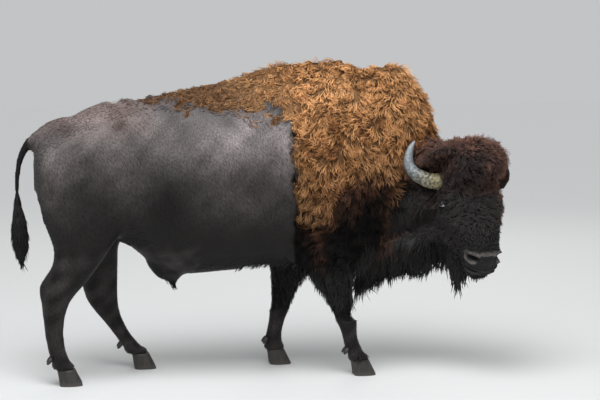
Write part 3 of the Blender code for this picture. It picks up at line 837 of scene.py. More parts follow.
@dataclass(frozen=True)
class CoatColours:
    """The animal's palette, shared by skin and coat through one node group."""

    black: Colour = (0.0065, 0.0052, 0.0048)
    # flank: the grey of painted sheen and top light over the black coat; the legs take a little of it as tone
    flank: Colour = (0.2000, 0.1720, 0.1680)
    umber: Colour = (0.1000, 0.0450, 0.0260)
    gold: Colour = (0.3300, 0.1420, 0.0500)
    pale_gold: Colour = (0.6600, 0.3500, 0.1500)

    def group(self) -> bpy.types.NodeTree:
        """The node group that turns markings into colour.

        Returns:
            The group, made once.
        """
        tree = bpy.data.node_groups.get("coat_markings")
        if tree is not None:
            return tree
        tree = bpy.data.node_groups.new("coat_markings", "ShaderNodeTree")
        tree.interface.new_socket("Marks", in_out="INPUT", socket_type="NodeSocketColor")
        tree.interface.new_socket("Tone", in_out="INPUT", socket_type="NodeSocketFloat")
        tree.interface.new_socket("Colour", in_out="OUTPUT", socket_type="NodeSocketColor")
        graph = Graph(tree)
        given = graph.add("NodeGroupInput")
        parts = graph.add("ShaderNodeSeparateColor", {0: given.outputs["Marks"]})
        gold, flank, umber = parts.outputs[0], parts.outputs[1], parts.outputs[2]
        broad = graph.ramp(graph.stretched_noise(3.5, (1, 1, 1)), 0.3, 0.7)
        bright = graph.ramp(graph.math("ADD", given.outputs["Tone"], broad), 0.5, 1.7)
        golden = graph.mix(bright, self.gold, self.pale_gold)
        # painted sheen and top light: the flank mark lifts black towards the grey flank colour
        colour = graph.mix(flank, self.black, self.flank)
        colour = graph.mix(umber, colour, self.umber)
        colour = graph.mix(gold, colour, golden)
        out = graph.add("NodeGroupOutput")
        tree.links.new(colour, out.inputs["Colour"])
        return tree


def new_material(name: str) -> tuple[bpy.types.Material, Graph, bpy.types.Node]:
    """A material with an empty graph and a Principled shader.

    Args:
        name: the material's name.

    Returns:
        The material, its graph helper and its Principled node.
    """
    material = bpy.data.materials.new(name)
    material.use_nodes = True
    shader = material.node_tree.nodes["Principled BSDF"]
    return material, Graph(material.node_tree), shader


@dataclass(frozen=True)
class SkinFinish:
    """The skin: the coat's markings, a nap of short hair, and bare leather at the nose."""

    colours: CoatColours
    nap_scale: float = 190.0
    # painted shade: how dark the skin is made under the long coat, so gaps between locks read as shadow
    painted_gap_shade: float = 0.30

    def material(self) -> bpy.types.Material:
        """Builds the material.

        Returns:
            The material.
        """
        material, g, shader = new_material("bison_skin")
        marks = g.add("ShaderNodeAttribute", attribute_name="marks")
        bare, leg, wool = g.attribute("where")
        coords = g.add("ShaderNodeTexCoord").outputs["Object"]
        slant = g.add("ShaderNodeVectorRotate", {"Vector": coords, "Angle": 0.45}, rotation_type="Y_AXIS")
        nap_body = g.stretched_noise(self.nap_scale, (1.0, 1.0, 0.24), 5.0, slant.outputs[0])
        nap_leg = g.stretched_noise(self.nap_scale, (1.0, 1.0, 0.24), 5.0)
        nap = g.add("ShaderNodeMix", {0: leg, 2: nap_body, 3: nap_leg}).outputs[0]
        tone = g.ramp(nap, 0.35, 0.65)
        group = g.add("ShaderNodeGroup", node_tree=self.colours.group())
        g.tree.links.new(marks.outputs["Color"], group.inputs["Marks"])
        g.tree.links.new(tone, group.inputs["Tone"])
        shade = g.ramp(nap, 0.34, 0.68, 0.55, 1.50)
        # painted shade under the long coat
        shade = g.math("MULTIPLY", shade, g.ramp(wool, 0.0, 1.0, 1.0, self.painted_gap_shade))
        coat = g.mix(1.0, group.outputs[0], g.grey(shade), "MULTIPLY")
        wing, pad, inside = g.attribute("nose")
        pebble = g.add("ShaderNodeTexVoronoi", {"Vector": coords, "Scale": 330.0}).outputs["Distance"]
        blotch = g.stretched_noise(45.0, (1, 1, 1), 3.0)
        leather = g.mix(wing, (0.014, 0.013, 0.012), (0.135, 0.121, 0.112))
        leather = g.mix(g.ramp(blotch, 0.42, 0.68, 0.0, 0.55), leather, (0.030, 0.028, 0.027))
        leather = g.mix(pad, leather, (0.009, 0.009, 0.009))
        # painted shade: the leather is darkened in the grooves between its pebbles
        leather = g.mix(g.ramp(pebble, 0.25, 0.60, 0.0, 0.35), leather, (0.008, 0.008, 0.008))
        # painted shade: the nostril's inside goes near black
        leather = g.mix(inside, leather, (0.003, 0.003, 0.003))
        g.tree.links.new(g.mix(bare, coat, leather), shader.inputs["Base Color"])
        rough = g.math("ADD", g.ramp(nap, 0.3, 0.7, 0.44, 0.58), g.math("MULTIPLY", wool, 0.30))
        rough = g.math("SUBTRACT", rough, g.math("MULTIPLY", pad, 0.50))
        g.tree.links.new(rough, shader.inputs["Roughness"])
        height = g.math("SUBTRACT", nap, g.math("MULTIPLY", pebble, g.math("MULTIPLY", bare, 0.35)))
        bump = g.add("ShaderNodeBump", {"Strength": 0.45, "Distance": 0.004, "Height": height})
        g.tree.links.new(bump.outputs[0], shader.inputs["Normal"])
        shader.inputs["Specular IOR Level"].default_value = 0.17
        shader.inputs["Sheen Weight"].default_value = 0.012
        shader.inputs["Sheen Roughness"].default_value = 0.40
        shader.inputs["Sheen Tint"].default_value = (0.75, 0.82, 1.0, 1.0)
        return material


@dataclass(frozen=True)
class CoatFinish:
    """Locks of hair: the markings, darker at the root, with strands along each lock."""

    name: str
    colours: CoatColours
    root_shade: float = 0.25
    tip_lift: float = 1.25
    roughness: float = 0.62
    sheen: float = 0.15
    gloss: float = 0.35
    tint: Colour = (1.0, 1.0, 1.0)
    variation: float = 1.0

    def material(self) -> bpy.types.Material:
        """Builds the material.

        Returns:
            The material.
        """
        material, g, shader = new_material(self.name)
        marks = g.add("ShaderNodeAttribute", attribute_name="marks")
        along, tone, _ = g.attribute("lock")
        group = g.add("ShaderNodeGroup", node_tree=self.colours.group())
        g.tree.links.new(marks.outputs["Color"], group.inputs["Marks"])
        g.tree.links.new(tone, group.inputs["Tone"])
        strand_map = g.add("ShaderNodeUVMap", uv_map="Strands").outputs[0]
        strands = g.stretched_noise(1.0, (9.0, 1.1, 1.0), 3.0, strand_map)
        fade = g.ramp(along, 0.0, 0.9, self.root_shade, self.tip_lift)
        v = self.variation
        shade = g.math("MULTIPLY", fade, g.ramp(tone, 0.0, 1.0, 1.0 - 0.38 * v, 1.0 + 0.30 * v))
        shade = g.math("MULTIPLY", shade, g.ramp(strands, 0.3, 0.7, 1.0 - 0.40 * v, 1.0 + 0.35 * v))
        tinted = g.mix(1.0, g.grey(shade), self.tint, "MULTIPLY")
        g.tree.links.new(g.mix(1.0, group.outputs[0], tinted, "MULTIPLY"), shader.inputs["Base Color"])
        bump = g.add("ShaderNodeBump", {"Strength": 0.8, "Distance": 0.002, "Height": strands})
        g.tree.links.new(bump.outputs[0], shader.inputs["Normal"])
        shader.inputs["Roughness"].default_value = self.roughness
        shader.inputs["Specular IOR Level"].default_value = self.gloss
        shader.inputs["Sheen Weight"].default_value = self.sheen
        shader.inputs["Sheen Roughness"].default_value = 0.5
        return material


# ------------------------------------------------------------------ skin
@dataclass
class Skin:
    """One skin over the whole body, drawn in under the coat."""

    atlas: Atlas
    finish: SkinFinish
    voxel: float = 0.0125
    smoothing: int = 6
    draw_steps: int = 4
    parting_side: float = 0.158
    socket_middle: Colour = (0.015, -0.020, 0.130)
    socket_size: Colour = (0.060, 0.058, 0.080)
    flesh: tuple[str, ...] = (
        "barrel", "shoulders", "hindquarters", "neck", "head", "sheath", "tail", "ear_left", "ear_right",
        "fore_left_upper_leg", "fore_left_lower_leg", "fore_right_upper_leg", "fore_right_lower_leg",
        "hind_left_upper_leg", "hind_left_lower_leg", "hind_right_upper_leg", "hind_right_lower_leg",
    )
    hair_masses: tuple[str, ...] = ("crown_hair", "chest_mane", "beard", "tail_tuft")
    obj: bpy.types.Object | None = field(default=None, init=False)

    def build(self) -> bpy.types.Object:
        """Fuses the flesh, draws it in, and shapes the face.

        Returns:
            The skin.
        """
        copies = [copy_of(name) for name in (*self.flesh, *self.hair_masses)]
        self._part_over_horn(copies[len(self.flesh)])
        copies += [self._horn_core(side) for side in (1, -1)]
        bpy.ops.object.select_all(action="DESELECT")
        for obj in copies:
            obj.select_set(True)
        bpy.context.view_layer.objects.active = copies[0]
        bpy.ops.object.join()
        skin = bpy.context.object
        skin.name = skin.data.name = "skin"
        apply_modifier(skin, "REMESH", mode="VOXEL", voxel_size=self.voxel, use_smooth_shade=True)
        apply_modifier(skin, "SMOOTH", factor=0.5, iterations=self.smoothing)
        self._draw_in(skin)
        apply_modifier(skin, "SMOOTH", factor=0.5, iterations=3)
        self._refine_face(skin)
        FaceShape(self.atlas).carve(skin)
        BodyShape(self.atlas).carve(skin)
        self._dress(skin)
        self.obj = skin
        return skin

    def _part_over_horn(self, bonnet: bpy.types.Object) -> None:
        """Presses the bonnet in where the right horn comes out in front of it.

        Args:
            bonnet: a copy of the bonnet's solid.
        """
        head = self.atlas.head
        select_only(bonnet)
        bpy.ops.object.mode_set(mode="EDIT")
        bpy.ops.mesh.select_all(action="SELECT")
        bpy.ops.mesh.subdivide(number_cuts=2)
        bpy.ops.object.mode_set(mode="OBJECT")
        places = vertex_array(bonnet.data, "co")
        a, o, r = head.local(places).T
        over = np.maximum(r - self.parting_side, 0) * rise(-0.070, -0.038, a) * rise(-0.09, -0.05, o)
        move_vertices(bonnet, places - over[:, None] * head.axes[2])

    def _horn_core(self, side: int) -> bpy.types.Object:
        """Flesh that fills the socket of a horn.

        Args:
            side: 1 for the right horn, -1 for the left.

        Returns:
            The filling.
        """
        bpy.ops.mesh.primitive_uv_sphere_add(segments=24, ring_count=16, radius=1.0)
        core = bpy.context.object
        along, out, right = self.socket_middle
        middle = self.atlas.head.world([along, out, side * right])
        sizes = Matrix.Diagonal((*self.socket_size, 1.0))
        axes = Matrix(self.atlas.head.axes.T.tolist()).to_4x4()
        core.data.transform(Matrix.Translation(middle) @ axes @ sizes)
        return core

    def _draw_in(self, skin: bpy.types.Object) -> None:
        """Moves the skin in from the coat's outline by the coat's depth, in small steps.

        Args:
            skin: the skin.
        """
        depth = self.atlas.depth(vertex_array(skin.data, "co"))[:, None]
        for _ in range(self.draw_steps):
            normals = vertex_array(skin.data, "normal")
            move_vertices(skin, vertex_array(skin.data, "co") - normals * depth / self.draw_steps)
            apply_modifier(skin, "SMOOTH", factor=0.4, iterations=1)

    def _refine_face(self, skin: bpy.types.Object) -> None:
        """Divides the faces round the muzzle and the eyes so that folds can be shaped there.

        Args:
            skin: the skin.
        """
        head = self.atlas.head
        for reach in (0.0, 0.012):
            bm = bmesh.new()
            bm.from_mesh(skin.data)
            bm.edges.ensure_lookup_table()
            middles = np.array([(e.verts[0].co + e.verts[1].co) / 2 for e in bm.edges])
            a, o, r = head.local(middles).T
            side = np.abs(r)
            down, out = head.slope(a, o)
            nose = (down > 0.305 + reach) & (down < 0.525 - reach)
            nose &= (out > 0.300 + reach) & (side < 0.15 - reach)
            eye = (head.eye_distance(a, o) < 0.06 - reach) & (side > 0.10) & (side < 0.25)
            chosen = [bm.edges[i] for i in np.flatnonzero(nose | eye)]
            bmesh.ops.subdivide_edges(bm, edges=chosen, cuts=1, use_grid_fill=True, smooth=0.0)
            bm.to_mesh(skin.data)
            bm.free()

    def _dress(self, skin: bpy.types.Object) -> None:
        """Stores the markings, unwraps the skin and gives it its finish.

        Args:
            skin: the skin.
        """
        mesh = skin.data
        places = vertex_array(mesh, "co")
        weights = self.atlas.weights(places)
        paint(mesh, "marks", self.atlas.marks(places))
        bare = self.atlas.bare(places)
        leg = np.clip(weights[Region.LEG] + weights[Region.CHAPS] + weights[Region.TAIL], 0, 1)
        short = np.clip(weights[Region.BODY] + weights[Region.LEG] + weights[Region.TAIL], 0, 1)
        paint(mesh, "where", np.stack([bare, leg, 1 - short], axis=1))
        paint(mesh, "nose", self.atlas.nose_marks(places))
        mesh.polygons.foreach_set("use_smooth", np.ones(len(mesh.polygons), bool))
        select_only(skin)
        bpy.ops.object.mode_set(mode="EDIT")
        bpy.ops.mesh.select_all(action="SELECT")
        bpy.ops.uv.smart_project(angle_limit=math.radians(66), island_margin=0.002)
        bpy.ops.object.mode_set(mode="OBJECT")
        mesh.uv_layers.active.name = "OFBake"
        mesh.materials.append(self.finish.material())
        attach(skin, "root")
        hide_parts(*self.flesh)


@dataclass
class FaceShape:
    """A blunt nose with nostrils, mouth and lips, and the hollows of the eyes, shaped in the skin."""

    atlas: Atlas
    front: float = 0.420
    mouth: float = 0.480

    def carve(self, skin: bpy.types.Object) -> None:
        """Moves the skin's vertices.

        Args:
            skin: the skin.
        """
        self._flatten_front(skin)
        head = self.atlas.head
        places = vertex_array(skin.data, "co")
        normals = vertex_array(skin.data, "normal")
        a, o, r = head.local(places).T
        side = np.abs(r)
        down, out = head.slope(a, o)
        front = (a > 0.35) & (side < 0.14) & (out > 0.33)
        off = down - (self.mouth - 0.22 * side)
        reach = front * rise(0.112, 0.085, side)
        move = -0.013 * np.exp(-((off / 0.0042) ** 2)) * reach
        move += 0.005 * np.exp(-(((off + 0.013) / 0.009) ** 2)) * reach
        move += 0.006 * np.exp(-(((off - 0.013) / 0.010) ** 2)) * reach
        pit = self.atlas.nostril(down, out, side)
        move -= 0.036 * np.exp(-(pit**1.6)) * front
        over = rise(0.004, -0.014, down - self.atlas.nostril_down + 0.4 * (side - self.atlas.nostril_side))
        rim = np.exp(-(((np.sqrt(pit) - 1.50) / 0.40) ** 2))
        move += 0.010 * rim * over * front * rise(0.112, 0.092, side)
        move += 0.020 * self.atlas.fold(down, out, side) * front
        move += 0.007 * np.exp(-((side / 0.046) ** 2) - ((down - 0.412) / 0.030) ** 2) * front
        groove = rise(0.415, 0.432, down) * rise(0.482, 0.476, down)
        move -= 0.0045 * np.exp(-((r / 0.0035) ** 2)) * groove * front
        away = head.eye_distance(a, o)
        socket = (side > 0.11) & (side < 0.24)
        move -= 0.010 * np.exp(-((away / 0.028) ** 2)) * socket
        brow = np.exp(-(((away - 0.042) / 0.014) ** 2)) * rise(0.02, -0.02, a - head.eye_along)
        move += 0.008 * brow * socket
        places += normals * move[:, None]
        gap, middle = self.atlas.horn_gap(places)
        middle[:, 2] *= np.where(r < 0, -LEFT_HORN_TUCK, 1.0)
        tuck = rise(0.022, 0.002, gap) * rise(0.150, 0.175, r)
        move_vertices(skin, places + (head.world(middle) - places) * (0.9 * tuck)[:, None])

    def _flatten_front(self, skin: bpy.types.Object) -> None:
        """Presses the dome of the nose into a blunt front that faces forward and down.

        Args:
            skin: the skin.
        """
        head = self.atlas.head
        places = vertex_array(skin.data, "co")
        a, o, r = head.local(places).T
        down, out = head.slope(a, o)
        limit = self.front - 1.1 * r**2
        limit = limit - 1.2 * np.maximum(down - 0.470, 0) - 0.5 * np.maximum(0.372 - down, 0)
        nearby = (a > 0.40) & (np.abs(r) < 0.12) & (down > 0.33) & (down < 0.52)
        over = np.where(nearby, np.maximum(out - limit, 0), 0) * rise(0.33, 0.35, down)
        move_vertices(skin, places - (over * 0.75)[:, None] * unit(head.axes[0] + head.axes[1]))


@dataclass
class BodyShape:
    """Hip, flank hollow, ribs, stifle and coronets, shaped in the skin."""

    atlas: Atlas
    # along the body, height, their reaches, how far out
    bulges: tuple[tuple[float, float, float, float, float], ...] = (
        (-1.02, 1.49, 0.07, 0.05, 0.014),
        (-0.76, 1.34, 0.10, 0.11, -0.018),
        (-0.92, 0.93, 0.09, 0.10, 0.014),
        (-1.36, 1.33, 0.06, 0.06, 0.012),
        (-1.20, 1.05, 0.10, 0.20, 0.008),
        (-0.79, 0.95, 0.035, 0.14, -0.010),
        (-1.10, 0.75, 0.05, 0.12, 0.006),
    )

    def carve(self, skin: bpy.types.Object) -> None:
        """Moves the skin's vertices.

        Args:
            skin: the skin.
        """
        places = vertex_array(skin.data, "co")
        normals = vertex_array(skin.data, "normal")
        x, y, z = (places - self.atlas.head.shift).T
        flat = rise(0.25, 0.6, np.abs(normals[:, 1])) * (np.abs(y) > 0.08)
        move = np.zeros(len(places))
        for px, pz, rx, rz, high in self.bulges:
            move += high * np.exp(-(((x - px) / rx) ** 2) - ((z - pz) / rz) ** 2) * flat
        ribs = rise(-0.66, -0.52, x) * rise(-0.10, -0.20, x) * rise(0.85, 1.0, z) * rise(1.46, 1.30, z)
        move += 0.0028 * np.sin((x + 0.30 * z) * 2 * math.pi / 0.088) * ribs * flat
        coronet = np.exp(-(((z - 0.100) / 0.022) ** 2)) * (z < 0.16)
        move += 0.010 * coronet
        move_vertices(skin, places + normals * move[:, None])


# ------------------------------------------------------------------ coat
@dataclass
class Roots:
    """Where locks stand on the skin."""

    places: Array
    normals: Array
    uvs: Array


@dataclass
class Scalp:
    """The skin as arrays, for planting."""

    skin: bpy.types.Object
    places: Array = field(init=False)
    normals: Array = field(init=False)
    corners: Array = field(init=False)
    uvs: Array = field(init=False)
    areas: Array = field(init=False)
    middles: Array = field(init=False)

    def __post_init__(self) -> None:
        """Reads the skin's triangles, normals and unwrap."""
        mesh = self.skin.data
        self.places = vertex_array(mesh, "co")
        self.normals = vertex_array(mesh, "normal")
        mesh.calc_loop_triangles()
        count = len(mesh.loop_triangles)
        corners = np.empty(count * 3, np.int32)
        loops = np.empty(count * 3, np.int32)
        mesh.loop_triangles.foreach_get("vertices", corners)
        mesh.loop_triangles.foreach_get("loops", loops)
        uv = np.empty(len(mesh.loops) * 2, np.float32)
        mesh.uv_layers["OFBake"].uv.foreach_get("vector", uv)
        self.corners = corners.reshape(-1, 3)
        self.uvs = uv.reshape(-1, 2)[loops.reshape(-1, 3)]
        a, b, c = (self.places[self.corners[:, k]] for k in range(3))
        self.areas = np.linalg.norm(np.cross(b - a, c - a), axis=1) / 2
        self.middles = (a + b + c) / 3

    def plant(self, count: int, density: Array, rng: np.random.Generator) -> Roots:
        """Picks places for locks.

        Args:
            count: how many.
            density: relative density on each triangle.
            rng: the random source.

        Returns:
            The roots.
        """
        share = np.cumsum(self.areas * density)
        picks = (np.arange(count) + rng.uniform(0, 1, count)) / count * share[-1]
        which = np.clip(np.searchsorted(share, picks), 0, len(share) - 1)
        u, v = rng.uniform(0, 1, (2, count))
        flip = u + v > 1
        u[flip], v[flip] = 1 - u[flip], 1 - v[flip]
        bary = np.stack([1 - u - v, u, v], axis=1)[:, :, None]
        places = (self.places[self.corners[which]] * bary).sum(1)
        normals = unit((self.normals[self.corners[which]] * bary).sum(1))
        return Roots(places, normals, (self.uvs[which] * bary).sum(1))


@dataclass(frozen=True)
class LockStyle:
    """Size and character of one kind of lock."""

    name: str
    regions: tuple[Region, ...]
    count: int
    rings: int
    length: float
    width: float
    lift: float
    curl: float = 0.0
    turns: float = 1.0
    droop: float = 0.0
    spread: float = 0.3
    swirl: float = 0.3
    clump: int = 1
    gather: float = 0.0
    ridge: float = 0.7
    hover: float = 0.0015
    node: str = ""
    slot: str = "long_hair_black"
    finish: CoatFinish | None = None


@dataclass
class Coat:
    """Plants and builds the locks."""

    atlas: Atlas
    scalp: Scalp
    limit: int = 190_000
    patch: float = 0.003

    def density(self, style: LockStyle) -> Array:
        """Relative density of a style on each of the skin's triangles."""
        middles = self.scalp.middles
        weights = self.atlas.weights(middles)
        density = sum(weights[region] for region in style.regions)
        if Region.LEG in style.regions:
            low, fringe = middles[:, 2], 1.0
            for height, amount in ((0.112, 7.0), (0.172, 2.5)):
                fringe = fringe + amount * np.exp(-(((low - height) / 0.016) ** 2))
            density = density * fringe
        if Region.BODY in style.regions:
            sideways = np.abs(self.scalp.normals[self.scalp.corners].mean(1)[:, 1])
            density = density * (1 - 0.99 * rise(0.55, 0.85, sideways))
        if Region.CROWN in style.regions or Region.FACE in style.regions:
            gap, nearest = self.atlas.horn_gap(middles)
            on_right = self.atlas.head.local(middles)[:, 2] > 0
            clear = np.where(on_right, rise(0.004, 0.018, gap), rise(-0.012, 0.000, gap))
            density = density * np.where(nearest[:, 2] > 0.150, clear, 1.0)
        return density * (1 - self.atlas.bare(middles)) ** 3

    def grow(self, style: LockStyle, seed: int) -> list[bpy.types.Object]:
        """Makes every lock of a style.

        Args:
            style: the kind of lock.
            seed: the random seed.

        Returns:
            The pieces, each under the triangle limit.
        """
        rng = np.random.default_rng(seed)
        roots = self.scalp.plant(style.count, self.density(style), rng)
        order = np.argsort(roots.places[:, 1])
        roots = Roots(roots.places[order], roots.normals[order], roots.uvs[order])
        owner = self._owners(roots, style, rng)
        per_lock = 6 * (style.rings - 1) + 4
        parts = max(1, math.ceil(style.count * per_lock / self.limit))
        material = style.finish.material()
        pieces = []
        for index, chosen in enumerate(np.array_split(np.arange(style.count), parts)):
            some = Roots(roots.places[chosen], roots.normals[chosen], roots.uvs[chosen])
            name = style.name if parts == 1 else f"{style.name}_{index + 1}"
            piece = self._build(name, style, some, roots.places[owner[chosen]], owner[chosen], rng)
            piece.data.materials.append(material)
            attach(piece, "root")
            if style.node:
                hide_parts(style.node)
            pieces.append(piece)
        return pieces

    def _owners(self, roots: Roots, style: LockStyle, rng: np.random.Generator) -> Array:
        """Shares the roots out among leaders, each with its clump.

        Args:
            roots: the roots.
            style: the kind of lock.
            rng: the random source.

        Returns:
            For each root, the number of the root that leads its clump.
        """
        n = len(roots.places)
        if style.clump <= 1:
            return np.arange(n)
        leaders = rng.choice(n, n // style.clump, replace=False)
        tree = KDTree(len(leaders))
        for index, leader in enumerate(leaders):
            tree.insert(roots.places[leader], index)
        tree.balance()
        near = [tree.find(place)[1] for place in roots.places.tolist()]
        return leaders[np.array(near)]

    def _shorter(self, places: Array) -> Array:
        """Length factor by place: short towards the nose, round eyes and horns, along the back, on the legs.

        Args:
            places: rows of roots.

        Returns:
            One factor a root.
        """
        a, o, r = self.atlas.head.local(places).T
        x = places[:, 0] - self.atlas.head.shift[0]
        near_nose = rise(0.46, 0.28, a) * 0.68 + 0.32
        on_head = (x > 0.42) & (a > 0.1) & (o > -0.16)
        eye = 0.35 + 0.65 * rise(0.03, 0.09, self.atlas.head.eye_distance(a, o)) * (np.abs(r) > 0.1)
        factor = np.where(on_head, near_nose * np.where(np.abs(r) > 0.1, eye, 1.0), 1.0)
        gap, nearest = self.atlas.horn_gap(places)
        factor *= np.where(nearest[:, 2] > 0.145, 0.40 + 0.60 * rise(0.0, 0.05, gap), 1.0)
        z = places[:, 2]
        steps = (0.09, 0.125, 0.145, 0.165, 0.185, 0.21, 0.28, 0.36, 0.55)
        by_height = np.interp(z, steps, (1.15, 1.15, 0.50, 0.90, 0.90, 0.30, 0.25, 0.45, 1.0))
        factor *= np.where((z < 0.62) & (x < 0.44), by_height, 1.0)
        return factor * np.interp(x, (-1.1, -0.7, -0.1, 0.0), (0.35, 0.45, 0.75, 1.0)) ** (x < 0.0)

    def _build(
        self,
        name: str,
        style: LockStyle,
        roots: Roots,
        centres: Array,
        owner: Array,
        rng: np.random.Generator,
    ) -> bpy.types.Object:
        """Turns roots into one mesh of locks.

        Args:
            name: the piece's name.
            style: the kind of lock.
            roots: the roots.
            centres: each root's leader's place.
            owner: each root's leader's number.
            rng: the random source.

        Returns:
            The piece.
        """
        n, rings = len(roots.places), style.rings
        shared = np.random.default_rng(77).uniform(0, 1, (int(owner.max()) + 1, 5))[owner]
        loose = 0.35 if style.clump > 1 else 1.0
        normal = roots.normals
        lie = self.atlas.lie(roots.places, normal)
        across = np.cross(normal, lie)
        swirl = Waves(21, 0.16).at(roots.places) + Waves(23, 0.05).at(roots.places) * 0.6
        turn = swirl * style.swirl + rng.normal(0, style.spread * loose, n)
        if style.clump > 1:
            turn += (shared[:, 0] - 0.5) * 3.2 * style.spread
        turn = turn[:, None]
        heading = np.cos(turn) * lie + np.sin(turn) * across
        lift = (style.lift * (0.35 + 0.8 * shared[:, 1] + rng.uniform(0, 0.5, n)))[:, None]
        direction = np.cos(lift) * heading + np.sin(lift) * normal
        scale = np.ones(n) if Region.BODY in style.regions else self._shorter(roots.places)
        length = (style.length * scale * (0.75 + 0.45 * shared[:, 2]) * rng.uniform(0.8, 1.2, n))[:, None]
        width = (style.width * (0.4 + 0.6 * scale) * rng.uniform(0.7, 1.25, n))[:, None]
        sway = np.cross(normal, heading)
        phase = (shared[:, 3] * 2 * math.pi + rng.normal(0, 0.7 if style.clump > 1 else 3.0, n))[:, None]
        hand = np.sign(shared[:, 4] - 0.5)[:, None]
        inwards = centres - roots.places
        inwards -= dot(inwards, normal) * normal
        turns = (style.turns * rng.uniform(0.7, 1.3, n))[:, None]
        curl = (style.curl * (0.3 + 0.7 * scale) * rng.uniform(0.6, 1.3, n))[:, None]
        line = [roots.places - normal * 0.003]
        for _ in range(rings):
            direction = direction + np.array([0, 0, -style.droop / rings])
            inward = np.minimum(dot(direction, normal), 0.02)
            direction = unit(direction - inward * normal * 0.9)
            line.append(line[-1] + direction * length / rings)
        for k in range(1, rings + 1):
            s = k / rings
            angle = phase + hand * 2 * math.pi * turns * s
            sideways = (np.cos(angle) - np.cos(phase)) * sway
            upward = (np.sin(angle) - np.sin(phase)) * normal
            line[k] = line[k] + curl * s**0.6 * (sideways + 0.7 * upward) + style.gather * s * inwards
            height = dot(line[k] - roots.places, normal)
            line[k] = line[k] + np.maximum(style.hover * (1 + 2 * s) - height, 0) * normal
        line = np.stack(line, axis=1)
        vertices, lock = self._sweep(line, normal, width, rings, style.ridge)
        sunny = 0.30 * rise(1.30, 1.72, roots.places[:, 2]) * rise(-0.4, 0.0, roots.places[:, 0])
        tone = np.clip(0.6 * shared[:, 2] + 0.4 * rng.uniform(0, 1, n) + sunny, 0, 1)
        tone = np.repeat(tone, 3 * rings + 1)
        marks = self.atlas.marks(roots.places)
        obj = triangles_object(name, vertices.reshape(-1, 3), self._faces(n, rings))
        paint(obj.data, "marks", np.repeat(marks, 3 * rings + 1, axis=0))
        paint(obj.data, "lock", np.stack([np.tile(lock[:, 0], n), tone, np.tile(lock[:, 1], n)], axis=1))
        self._unwrap(obj.data, roots, lock, rng)
        return obj

    def _sweep(
        self, line: Array, normal: Array, width: Array, rings: int, ridge: float
    ) -> tuple[Array, Array]:
        """Rings of three corners round each line, then its tip.

        Args:
            line: the middle line of each lock.
            normal: the skin's normal at each root.
            width: each lock's width.
            rings: how many rings a lock has.
            ridge: how high a lock's ridge stands, over half its width.

        Returns:
            The corners of every lock, and each corner's place along and across its lock.
        """
        n = len(line)
        vertices = np.empty((n, 3 * rings + 1, 3))
        lock = np.zeros((3 * rings + 1, 2))
        shape = ((-1.0, -0.2 * ridge), (1.0, -0.2 * ridge), (0.0, ridge))
        for k in range(rings):
            s = k / rings
            tangent = unit(line[:, k + 1] - line[:, max(k - 1, 0)])
            side = unit(np.cross(tangent, normal))
            up = np.cross(side, tangent)
            half = width / 2 * (0.75 + 1.0 * s - 1.45 * s * s)
            for j, (u, v) in enumerate(shape):
                vertices[:, 3 * k + j] = line[:, k] + half * (u * side + v * up)
                lock[3 * k + j] = (s, (u + 1) / 2)
        vertices[:, -1] = line[:, rings]
        lock[-1] = (1.0, 0.5)
        return vertices, lock

    def _faces(self, n: int, rings: int) -> Array:
        """Triangles of the locks.

        Args:
            n: how many locks.
            rings: how many rings a lock has.

        Returns:
            Rows of three corner numbers.
        """
        faces = [(0, 2, 1)]
        for k in range(rings - 1):
            for j in range(3):
                a, b = 3 * k + j, 3 * k + (j + 1) % 3
                faces += [(a, b, b + 3), (a, b + 3, a + 3)]
        last, tip = 3 * (rings - 1), 3 * rings
        faces += [(last + j, last + (j + 1) % 3, tip) for j in range(3)]
        one = np.array(faces)
        return (one[None] + (np.arange(n) * (3 * rings + 1))[:, None, None]).reshape(-1, 3)

    def _unwrap(
        self, mesh: bpy.types.Mesh, roots: Roots, lock: Array, rng: np.random.Generator
    ) -> None:
        """Gives each lock a small patch at its root's place, and its own strand map.

        Args:
            mesh: the piece's mesh.
            roots: the roots.
            lock: each corner's place along and across its lock.
            rng: the random source.
        """
        n, corners = len(roots.uvs), len(lock)
        corner = np.empty(len(mesh.loops), np.int32)
        mesh.loops.foreach_get("vertex_index", corner)
        local = np.tile(lock[:, ::-1], (n, 1))
        rooted = np.repeat(roots.uvs, corners, axis=0) + (local - 0.5) * self.patch
        offset = np.repeat(rng.uniform(0, 50, (n, 2)), corners, axis=0)
        for name, values in (("OFBake", rooted), ("Strands", local + offset)):
            layer = mesh.uv_layers.new(name=name)
            layer.uv.foreach_set("vector", values[corner].astype(np.float32).ravel())


